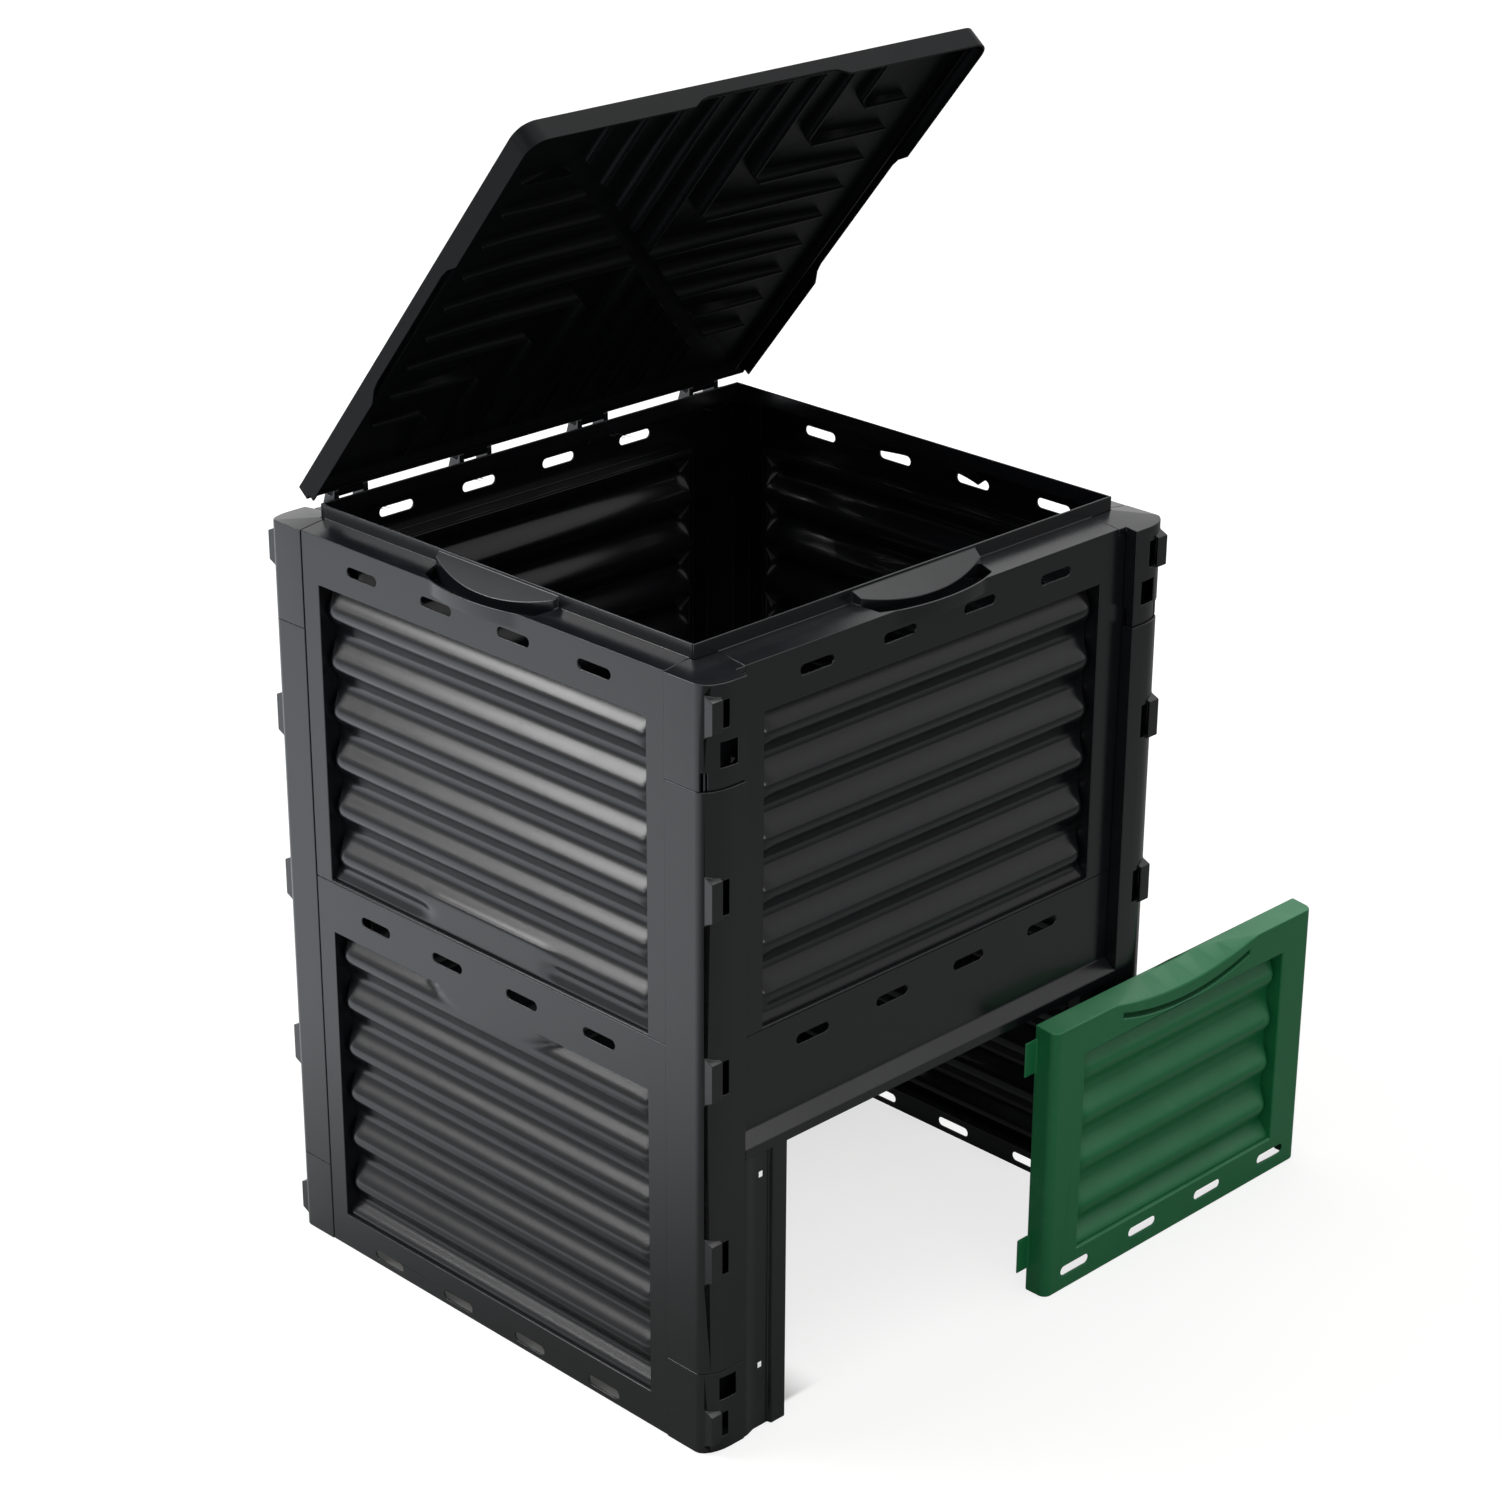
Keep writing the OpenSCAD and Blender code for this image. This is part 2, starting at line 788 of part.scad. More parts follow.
module upper_panel_right() {
    color(black_plastic)
    placed()
    facing_right()
    side_type_upper();
}

module lower_panel_back() {
    color(black_plastic)
    placed()
    facing_back() {
        lower_panel(post_inner_x - seam_gap);
        flat_tongues(0, mid_seam_h);
    }
}

module lower_panel_left() {
    color(black_plastic)
    placed()
    facing_left()
    side_type_lower();
}

module lower_panel_right() {
    color(black_plastic)
    placed()
    facing_right()
    side_type_lower();
}

// Plan of the left jamb, from the hatchway's edge to the post.
jamb_line = [
    [-hatch_w / 2, -front_face + wall / 2],
    [-hatch_w / 2, -bin_d / 2],
    [-hatch_w / 2 - jamb_face_w, -bin_d / 2],
    [-hatch_w / 2 - jamb_face_w - 1.5, -bin_d / 2 + jamb_groove],
    [-post_inner_x + 16, -bin_d / 2 + jamb_groove],
    [-post_inner_x + 6, -bin_d / 2 + 1.5],
    [-post_inner_x + seam_gap, -bin_d / 2 + 1],
    [-post_inner_x + seam_gap, -front_face + wall / 2]
];

// Lower front frame: the band over the hatchway with a jamb on each side.
module lower_front_frame() {
    tongue_reach = rib_line - groove_rib_t - seam_gap;
    frame_half = post_inner_x - seam_gap;
    latch_x = (hatch_w / 2 + jamb_face_w + post_inner_x - 16) / 2 + 1;
    color(black_plastic)
    placed() {
        facing_front()
        difference() {
            along_x(2 * frame_half)
            polygon(walled([
                [-front_set_back, hatch_h], [-front_set_back, hatch_h + hatch_lip_h],
                [0, hatch_field_z], [0, mid_seam_h]
            ], wall));
            slot_row(lower_field_top + lower_slot_rise, wall);
        }
        for (side = [0, 1])
            mirror([side, 0, 0]) {
                difference() {
                    linear_extrude(hatch_h + weld)
                    polygon(walled(jamb_line, wall));
                    for (z = [latch_hole_foot, latch_hole_top])
                        box_between([-latch_x - latch_hole_w / 2, -bin_d / 2 - 1, z - latch_hole_h / 2],
                                    [-latch_x + latch_hole_w / 2, -front_face - 1, z + latch_hole_h / 2]);
                }
                box_between([-tongue_reach, -front_face, 0],
                            [-post_inner_x + wall, -front_face + wall, mid_seam_h]);
            }
    }
}

module top_corner_front_left() {
    color(black_plastic)
    placed()
    at_corner(-1, -1)
    top_corner(shelf_step);
}

module top_corner_front_right() {
    color(black_plastic)
    placed()
    at_corner(1, -1)
    top_corner(shelf_step);
}

module top_corner_back_left() {
    color(black_plastic)
    placed()
    at_corner(-1, 1)
    top_corner(0);
}

module top_corner_back_right() {
    color(black_plastic)
    placed()
    at_corner(1, 1)
    top_corner(0);
}

module post_front_left() {
    color(black_plastic)
    placed()
    at_corner(-1, -1)
    long_post();
}

module post_front_right() {
    color(black_plastic)
    placed()
    at_corner(1, -1)
    long_post();
}

module post_back_left() {
    color(black_plastic)
    placed()
    at_corner(-1, 1)
    long_post();
}

module post_back_right() {
    color(black_plastic)
    placed()
    at_corner(1, 1)
    long_post();
}

module foot_corner_front_left() {
    color(black_plastic)
    placed()
    at_corner(-1, -1)
    foot_corner();
}

module foot_corner_front_right() {
    color(black_plastic)
    placed()
    at_corner(1, -1)
    foot_corner();
}

module foot_corner_back_left() {
    color(black_plastic)
    placed()
    at_corner(-1, 1)
    foot_corner();
}

module foot_corner_back_right() {
    color(black_plastic)
    placed()
    at_corner(1, 1)
    foot_corner();
}

// Plan of the lid with rounded front corners, pulled in by inset.
module lid_plan(inset) {
    half = lid_w / 2 - inset;
    back = -lid_back - inset;
    front = -lid_l + inset;
    r = lid_corner_r - inset;
    translate([-half, front + r])
    square([2 * half, back - front - r]);
    translate([-half + r, front])
    square([2 * (half - r), r + weld]);
    for (side = [-1, 1])
        translate([side * (half - r), front + r])
        circle(r = r, $fn = round_fn);
}

// Four low slopes over the lid's plan, from foot up, with eaves at the given height.
module lid_roof(inset, foot, eaves) {
    intersection() {
        translate([0, 0, foot])
        linear_extrude(eaves + lid_rise + 1 - foot)
        lid_plan(inset);
        along_x(lid_w)
        polygon([[-lid_l, foot], [-lid_l, eaves], [lid_middle, eaves + lid_rise],
                 [-lid_back, eaves], [-lid_back, foot]]);
        along_y(-lid_l, lid_l)
        polygon([[-lid_w / 2, foot], [-lid_w / 2, eaves], [0, eaves + lid_rise],
                 [lid_w / 2, eaves], [lid_w / 2, foot]]);
    }
}

// Outline of the shallow wavy cut in the skirt, which clears the scoop.
module skirt_wave() {
    half = scoop_w / 2;
    shoulder = skirt_foot + shoulder_rise * skirt_cut;
    polygon([
        [-half - wave_run, skirt_foot - 1], [-half - wave_run, skirt_foot],
        [-half - shoulder_out, shoulder], [-half + shoulder_in, skirt_foot + skirt_cut],
        [half - shoulder_in, skirt_foot + skirt_cut], [half + shoulder_out, shoulder],
        [half + wave_run, skirt_foot], [half + wave_run, skirt_foot - 1]
    ]);
}

// Ribs under the lid, square to each edge, in the hollow between skirt and slopes.
module lid_ribs() {
    foot = skirt_foot + skirt_h - lid_wall - rib_h;
    count = floor(lid_half / rib_pitch);
    for (i = [-count:count]) {
        length = lid_half - abs(i) * rib_pitch - rib_centre_gap - rib_edge_gap;
        if (length > shortest_rib)
            for (turn = [0, 90, 180, 270])
                translate([0, lid_middle, 0])
                rotate([0, 0, turn])
                translate([i * rib_pitch - rib_t / 2, lid_half - length - rib_edge_gap, foot])
                cube([rib_t, length, rib_h + lid_rise]);
    }
}

// Bead under the lid that rests on the rim's lip when the lid is closed.
module lid_bead() {
    bead_foot = lid_rest_gap - axis_rise;
    back = lip_d / 2 - axis_y;
    difference() {
        box_between([-lip_w / 2, back - lip_d, bead_foot], [lip_w / 2, back, bead_foot + bead_h]);
        box_between([-lip_w / 2 + wall, back - lip_d + wall, bead_foot - 1],
                    [lip_w / 2 - wall, back - wall, bead_foot + bead_h + 1]);
    }
}

// One knuckle with its round pegs and the arm to the lid.
module lid_knuckle() {
    peg_l = knuckle_l + 2 * knuckle_gap + 2 * ear_t - 1;
    rotate([0, 90, 0])
    cylinder(d = knuckle_d, h = knuckle_l, center = true, $fn = round_fn);
    rotate([0, 90, 0])
    cylinder(d = peg_d, h = peg_l, center = true, $fn = round_fn);
    box_between([-knuckle_l / 2, -lid_back - lid_wall, -knuckle_arm_h / 2],
                [knuckle_l / 2, 0, knuckle_arm_h / 2]);
}

// The lid with its hinge axis along X at the origin, closed.
module lid_closed() {
    eaves = skirt_foot + skirt_h;
    back_foot = -5;
    difference() {
        lid_roof(0, skirt_foot, eaves);
        difference() {
            lid_roof(lid_wall, skirt_foot - 1, eaves - lid_wall);
            intersection() {
                union() {
                    lid_ribs();
                    lid_bead();
                }
                lid_roof(lid_wall / 2, skirt_foot - 2, eaves - lid_wall / 2);
            }
        }
        box_between([-lid_w, -lid_back - lid_wall - 4, skirt_foot - 1], [lid_w, 0, back_foot]);
        along_y(-lid_l - 1, lid_wall + 8)
        skirt_wave();
        translate([0, -lid_l / 2, 0])
        along_x(lid_w + 2)
        skirt_wave();
    }
    at_knuckles()
    lid_knuckle();
}

module lid() {
    color(black_plastic)
    placed()
    translate([0, axis_y, axis_z])
    rotate([-lid_open, 0, 0])
    lid_closed();
}

// Outer or inner form of the door, pulled in by inset, open at the back and foot when inset.
module door_form(inset) {
    half = door_w / 2 - inset;
    r = door_edge_r - inset;
    front = -door_t + inset;
    over = inset > 0 ? cut_over : 0;
    intersection() {
        translate([0, 0, -over])
        linear_extrude(door_h + over)
        union() {
            translate([-half, front + r])
            square([2 * half, -front - r + over]);
            translate([-half + r, front])
            square([2 * (half - r), r + weld]);
            for (side = [-1, 1])
                translate([side * (half - r), front + r])
                circle(r = r, $fn = round_fn);
        }
        along_x(door_w)
        polygon([
            [front, -over], [front, door_h - door_top_drop - inset],
            [0, door_h - inset * 1.2], [over, door_h - inset * 1.2], [over, -over]
        ]);
    }
}

// Slanted cylinder that dips the door's top towards its front, grown by grow.
module top_dip(grow) {
    tilt = atan((door_top_drop + dip_depth) / door_t);
    dip_r = arc_radius(dip_w, dip_depth) / cos(tilt);
    translate([0, 0, door_h + dip_ledge])
    rotate([tilt, 0, 0])
    translate([0, 0, dip_r])
    rotate([90, 0, 0])
    cylinder(h = 4 * door_t, r = dip_r + grow, center = true, $fn = 360);
}

// Curved finger groove below the dip, grown by grow, from y0 over depth t.
module grip_groove(grow, y0, t) {
    top_r = arc_radius(grip_w, grip_dip);
    translate([0, 0, door_field_top + grip_strip + grip_h + top_r])
    intersection() {
        along_y(y0, t)
        difference() {
            circle(r = top_r + grip_h + grow, $fn = 360);
            circle(r = top_r - grow, $fn = 360);
        }
        box_between([-grip_w / 2 - grow, y0 - 1, -top_r - grip_h - grow - 1],
                    [grip_w / 2 + grow, y0 + t + 1, -top_r + grip_dip + grow + 1]);
    }
}

// The door with its back at y = 0 and its foot on the ground.
module door_upright() {
    field = door_w - 2 * door_margin;
    difference() {
        union() {
            difference() {
                door_form(0);
                top_dip(0);
                difference() {
                    door_form(wall);
                    top_dip(wall);
                }
            }
            translate([0, -door_t, 0])
            recess_block(field, door_field_foot, door_field_top);
            grip_groove(groove_wall, -door_t + weld, grip_depth + wall - weld);
        }
        translate([0, -door_t, 0]) {
            recess_window(field, door_field_foot, door_field_top);
            slot_row(door_slot_h, wall);
        }
        grip_groove(0, -door_t - cut_over, grip_depth + cut_over);
    }
    translate([0, -door_t, 0])
    wave_sheet(field, door_field_foot, door_field_top);
    for (side = [-1, 1])
        for (z = [foot_tab_h, top_tab_h])
            translate([side * (door_w / 2 + tab_l / 2 - weld), -wall / 2, z + tab_h / 2])
            cube([tab_l + 2 * weld, wall, tab_h], center = true);
}

module door() {
    color(green_plastic)
    placed()
    translate([door_x, -bin_d / 2 - door_stand_off, 0])
    door_upright();
}

upper_panel_front();
upper_panel_back();
upper_panel_left();
upper_panel_right();
lower_front_frame();
lower_panel_back();
lower_panel_left();
lower_panel_right();
top_corner_front_left();
top_corner_front_right();
top_corner_back_left();
top_corner_back_right();
post_front_left();
post_front_right();
post_back_left();
post_back_right();
foot_corner_front_left();
foot_corner_front_right();
foot_corner_back_left();
foot_corner_back_right();
lid();
door();
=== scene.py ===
"""Garden compost bin of moulded plastic panels, with an open lid and a hatch door beside it."""

import json
import logging
import math
from dataclasses import dataclass, field
from enum import Enum

import bmesh
import bpy
from mathutils import Matrix, Vector

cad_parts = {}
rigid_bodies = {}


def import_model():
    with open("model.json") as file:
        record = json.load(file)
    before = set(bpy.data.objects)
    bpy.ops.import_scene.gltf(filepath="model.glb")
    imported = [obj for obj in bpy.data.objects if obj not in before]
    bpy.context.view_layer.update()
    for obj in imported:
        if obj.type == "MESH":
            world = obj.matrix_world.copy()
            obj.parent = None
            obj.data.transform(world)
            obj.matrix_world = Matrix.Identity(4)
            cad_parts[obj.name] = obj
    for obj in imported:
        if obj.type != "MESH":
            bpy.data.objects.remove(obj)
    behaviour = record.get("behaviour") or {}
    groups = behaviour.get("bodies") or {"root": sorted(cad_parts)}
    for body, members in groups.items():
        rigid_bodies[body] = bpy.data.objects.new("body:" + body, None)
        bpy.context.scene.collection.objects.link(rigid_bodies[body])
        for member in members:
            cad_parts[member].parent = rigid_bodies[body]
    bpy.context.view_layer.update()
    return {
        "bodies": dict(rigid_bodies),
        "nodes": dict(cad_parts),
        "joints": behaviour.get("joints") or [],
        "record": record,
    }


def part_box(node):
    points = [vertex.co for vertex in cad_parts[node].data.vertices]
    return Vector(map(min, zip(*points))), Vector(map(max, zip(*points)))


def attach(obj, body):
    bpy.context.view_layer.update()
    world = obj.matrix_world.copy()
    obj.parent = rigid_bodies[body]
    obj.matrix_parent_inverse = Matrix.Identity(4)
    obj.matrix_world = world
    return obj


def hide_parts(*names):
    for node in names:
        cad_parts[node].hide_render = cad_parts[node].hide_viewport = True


LOG = logging.getLogger("compost_bin")
MM = 0.001

WELD_DISTANCE = 0.01 * MM
CUT_SLACK = 0.02 * MM
CORNER_REACH = 0.1 * MM
FLAT_ANGLE = math.radians(0.6)
SMOOTH_ANGLE = math.radians(32)
CREASE_ANGLE = math.radians(1.0)
CREASE_BREADTH = 7 * MM
ROUNDING_STEPS = 2
BROAD_FACE_WEIGHT = 80

DIAGONAL = math.sqrt(0.5)
WHITE = (1.0, 1.0, 1.0, 1.0)


class Facing(Enum):
    """Which way a panel of the bin faces, as its turn about the upright axis in degrees."""

    FRONT = 0.0
    BACK = 180.0
    LEFT = -90.0
    RIGHT = 90.0


class Aim(Enum):
    """Where a lamp points."""

    AT_BIN = "bin"
    DOWN = "down"


class Sock:
    """A node socket whose maths is written with Python's operators."""

    def __init__(self, graph: "Graph", socket: bpy.types.NodeSocket) -> None:
        """Wraps a socket of a graph."""
        self.graph = graph
        self.socket = socket

    def math(self, operation: str, *values: "Sock | float", clamp: bool = False) -> "Sock":
        """Adds one Math node that starts from this value.

        Args:
            operation: the Math node's operation.
            values: its further inputs.
            clamp: whether the result is kept between 0 and 1.

        Returns:
            The node's result.
        """
        settings = {"operation": operation, "use_clamp": clamp}
        return self.graph.add("ShaderNodeMath", settings, dict(enumerate((self, *values))))

    def __add__(self, other: "Sock | float") -> "Sock":
        """Sum."""
        return self.math("ADD", other)

    __radd__ = __add__

    def __sub__(self, other: "Sock | float") -> "Sock":
        """Difference."""
        return self.math("SUBTRACT", other)

    def __rsub__(self, other: float) -> "Sock":
        """Difference from a number."""
        return self.graph.add("ShaderNodeMath", {"operation": "SUBTRACT"}, {0: other, 1: self})

    def __mul__(self, other: "Sock | float") -> "Sock":
        """Product."""
        return self.math("MULTIPLY", other)

    __rmul__ = __mul__

    def __truediv__(self, other: "Sock | float") -> "Sock":
        """Quotient."""
        return self.math("DIVIDE", other)

    def __rtruediv__(self, other: float) -> "Sock":
        """Quotient of a number by this value."""
        return self.graph.add("ShaderNodeMath", {"operation": "DIVIDE"}, {0: other, 1: self})

    def larger(self, other: "Sock | float") -> "Sock":
        """The larger of two values."""
        return self.math("MAXIMUM", other)

    def size(self) -> "Sock":
        """The value without its sign."""
        return self.math("ABSOLUTE")

    def root(self) -> "Sock":
        """Square root."""
        return self.math("SQRT")

    def clamped(self) -> "Sock":
        """The value kept between 0 and 1."""
        return self.math("ADD", 0.0, clamp=True)

    def eased(self) -> "Sock":
        """Softens both ends of a rise from 0 to 1."""
        return self * self * (3.0 - 2.0 * self)

    def ramp(self, low: float, high: float) -> "Sock":
        """Rises smoothly from 0 at low to 1 at high."""
        return ((self - low) / (high - low)).clamped().eased()


class Graph:
    """A node tree of any kind, filled by one method."""

    def __init__(self, tree: bpy.types.NodeTree) -> None:
        """Starts from an empty tree."""
        self.tree = tree
        tree.nodes.clear()

    def add(self, kind: str, settings: dict | None = None, inputs: dict | None = None,
            output: int | str = 0) -> Sock:
        """Adds any node.

        Args:
            kind: the node's type name.
            settings: its own settings, set before its sockets are filled.
            inputs: values or links by socket name or number.
            output: the output to return.

        Returns:
            The chosen output.
        """
        node = self.tree.nodes.new(kind)
        for name, value in (settings or {}).items():
            setattr(node, name, value)
        for name, value in (inputs or {}).items():
            if isinstance(value, Sock):
                self.tree.links.new(value.socket, node.inputs[name])
            else:
                node.inputs[name].default_value = value
        return Sock(self, node.outputs[output])

    def end(self, kind: str, last: Sock) -> None:
        """Joins the last socket to the tree's output node."""
        self.tree.links.new(last.socket, self.tree.nodes.new(kind).inputs[0])

    def split(self, vector: Sock) -> list[Sock]:
        """A vector's three parts."""
        parts = self.add("ShaderNodeSeparateXYZ", None, {0: vector}).socket.node.outputs
        return [Sock(self, part) for part in parts]

    def mix_colour(self, factor: Sock | float, a: Sock | tuple, b: Sock | tuple) -> Sock:
        """Mixes two colours."""
        return self.add("ShaderNodeMix", {"data_type": "RGBA"}, {0: factor, 6: a, 7: b}, output=2)

    def seen_rays(self) -> tuple[Sock, Sock]:
        """Tells the rays that show the surroundings from those that light the object.

        Returns:
            1 for what the camera, a reflection or glass sees, and 1 for the camera alone.
        """
        names = ("Is Camera Ray", "Is Glossy Ray", "Is Transmission Ray")
        camera, glossy, through = (self.add("ShaderNodeLightPath", output=name) for name in names)
        return camera.larger(glossy).larger(through), camera


def linear(hex_colour: str) -> tuple[float, float, float, float]:
    """The linear colour of a hexadecimal one, by the sRGB curve."""
    parts = [int(hex_colour[i:i + 2], 16) / 255 for i in (1, 3, 5)]
    return (*[p / 12.92 if p <= 0.04045 else ((p + 0.055) / 1.055) ** 2.4 for p in parts], 1.0)


@dataclass(frozen=True)
class Pattern:
    """One noise pattern of a finish, which may be turned and drawn out."""

    scale: float
    detail: float
    roughness: float
    turn: tuple[float, float, float] = (0.0, 0.0, 0.0)
    stretch: tuple[float, float, float] = (1.0, 1.0, 1.0)

    def on(self, g: Graph, place: Sock) -> Sock:
        """Adds the pattern to a material.

        Args:
            g: the material's graph.
            place: the coordinates that it lies on.

        Returns:
            The pattern's value.
        """
        turned = g.add("ShaderNodeMapping", None, {
            "Vector": place, "Rotation": self.turn, "Scale": self.stretch})
        return g.add("ShaderNodeTexNoise", None, {
            "Vector": turned, "Scale": self.scale, "Detail": self.detail, "Roughness": self.roughness})


@dataclass(frozen=True)
class MouldedPlastic:
    """Finish of moulded polypropylene: mottled, finely grained, a little dusty and scuffed."""

    name: str
    colour: str
    pale: str
    dust: str
    roughness: float
    specular: float
    dust_amount: float
    clouds: Pattern = Pattern(7.0, 3.0, 0.55)
    blotches: Pattern = Pattern(38.0, 4.0, 0.6)
    grain: Pattern = Pattern(900.0, 2.0, 0.5)
    streaks: Pattern = Pattern(260.0, 3.0, 0.6, stretch=(1.0, 1.0, 0.06))
    scuffs: Pattern = Pattern(420.0, 2.0, 0.5, turn=(0.5, 0.3, 0.8), stretch=(1.0, 0.05, 1.0))
    middle: float = 0.5
    mottle: float = 0.16
    cloud_tone: float = 2.2
    streak_tone: float = 0.8
    facing_up: tuple[float, float] = (0.25, 0.95)
    dust_clouds: tuple[float, float] = (0.35, 0.7)
    least_dust: float = 0.35
    dust_spots: tuple[float, float] = (0.58, 0.75)
    spot_dust: float = 0.05
    scuff_lines: tuple[float, float] = (0.66, 0.74)
    scuff_patches: tuple[float, float] = (0.5, 0.66)
    scuff_dust: float = 0.22
    cloud_gloss: float = 0.07
    blotch_gloss: float = 0.05
    grain_gloss: float = 0.08
    dust_gloss: float = 0.25
    scuff_gloss: float = 0.05
    grain_depth: float = 0.03 * MM
    grain_strength: float = 0.6
    warp_depth: float = 0.6 * MM
    warp_strength: float = 0.35
    warp_clouds: float = 0.7

    def build(self) -> bpy.types.Material:
        """Makes the material.

        Returns:
            The finished material.
        """
        material = bpy.data.materials.new(self.name)
        material.use_nodes = True
        g = Graph(material.node_tree)
        place = g.add("ShaderNodeTexCoord", output="Object")
        up = g.split(g.add("ShaderNodeNewGeometry", output="Normal"))[2]
        clouds, blotches, grain, streaks, scuffs = (
            pattern.on(g, place)
            for pattern in (self.clouds, self.blotches, self.grain, self.streaks, self.scuffs))
        cloudy, blotchy = clouds - self.middle, blotches - self.middle
        scuffed = scuffs.ramp(*self.scuff_lines) * blotches.ramp(*self.scuff_patches)
        settled = self.least_dust + (1.0 - self.least_dust) * clouds.ramp(*self.dust_clouds)
        dusty = (up.ramp(*self.facing_up) * settled * self.dust_amount
                 + scuffed * self.scuff_dust + blotches.ramp(*self.dust_spots) * self.spot_dust).clamped()
        tone = (cloudy * self.mottle * self.cloud_tone + blotchy * self.mottle
                + (streaks - self.middle) * self.mottle * self.streak_tone + self.middle).clamped()
        base = g.mix_colour(tone, linear(self.colour), linear(self.pale))
        base = g.mix_colour(dusty, base, linear(self.dust))
        rough = (self.roughness + cloudy * self.cloud_gloss + blotchy * self.blotch_gloss
                 + (grain - self.middle) * self.grain_gloss
                 + dusty * self.dust_gloss - scuffed * self.scuff_gloss).clamped()
        grained = g.add("ShaderNodeBump", None, {
            "Strength": self.grain_strength, "Distance": self.grain_depth, "Height": grain})
        warp = clouds * self.warp_clouds + blotches * (1.0 - self.warp_clouds)
        warped = g.add("ShaderNodeBump", None, {
            "Strength": self.warp_strength, "Distance": self.warp_depth, "Height": warp, "Normal": grained})
        g.end("ShaderNodeOutputMaterial", g.add("ShaderNodeBsdfPrincipled", None, {
            "Base Color": base, "Roughness": rough, "Normal": warped, "Specular IOR Level": self.specular}))
        return material


@dataclass
class Layout:
    """The bin's main planes in the row frame, in metres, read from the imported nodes."""

    centre: Vector = field(default_factory=Vector)
    side_face: float = 0.0
    front_face: float = 0.0

    @classmethod
    def from_frame(cls) -> "Layout":
        """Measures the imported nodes.

        Returns:
            The layout.
        """
        low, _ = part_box("foot_corner_front_left")
        _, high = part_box("foot_corner_back_right")
        centre = Vector(((low[0] + high[0]) / 2, (low[1] + high[1]) / 2, 0))
        side = centre.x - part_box("lower_panel_left")[0][0]
        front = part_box("lower_panel_back")[1][1] - centre.y
        return cls(centre, side, front)

    def to_row(self, facing: Facing) -> Matrix:
        """The matrix that takes a panel's own frame to the row frame.

        Args:
            facing: which way the panel faces.

        Returns:
            The matrix. In the panel's frame the face is at y 0, and +y goes inwards.
        """
        reach = self.front_face if facing in (Facing.FRONT, Facing.BACK) else self.side_face
        turn = Matrix.Rotation(math.radians(facing.value), 4, "Z")
        return Matrix.Translation(self.centre) @ turn @ Matrix.Translation((0, -reach, 0))


@dataclass(frozen=True)
class Plate:
    """A bare flat plate in a corrugated field, in millimetres down from the recess's top."""

    half_width: float = 0.0
    start: float = 0.0
    end: float = 0.0
    hem_roundness: float = 0.0


@dataclass(frozen=True)
class Window:
    """The recess of a corrugated field in a panel's own frame, in millimetres."""

    half_width: float
    foot: float
    top: float
    depth: float
    plate: Plate = Plate()
    wave_depth: float = 13.0
    crest_depth: float = 4.0
    first_crest: float = 26.0
    pitch: float = 51.75
    end_radius: float = 15.0

    @property
    def height(self) -> float:
        """The recess's height."""
        return self.top - self.foot


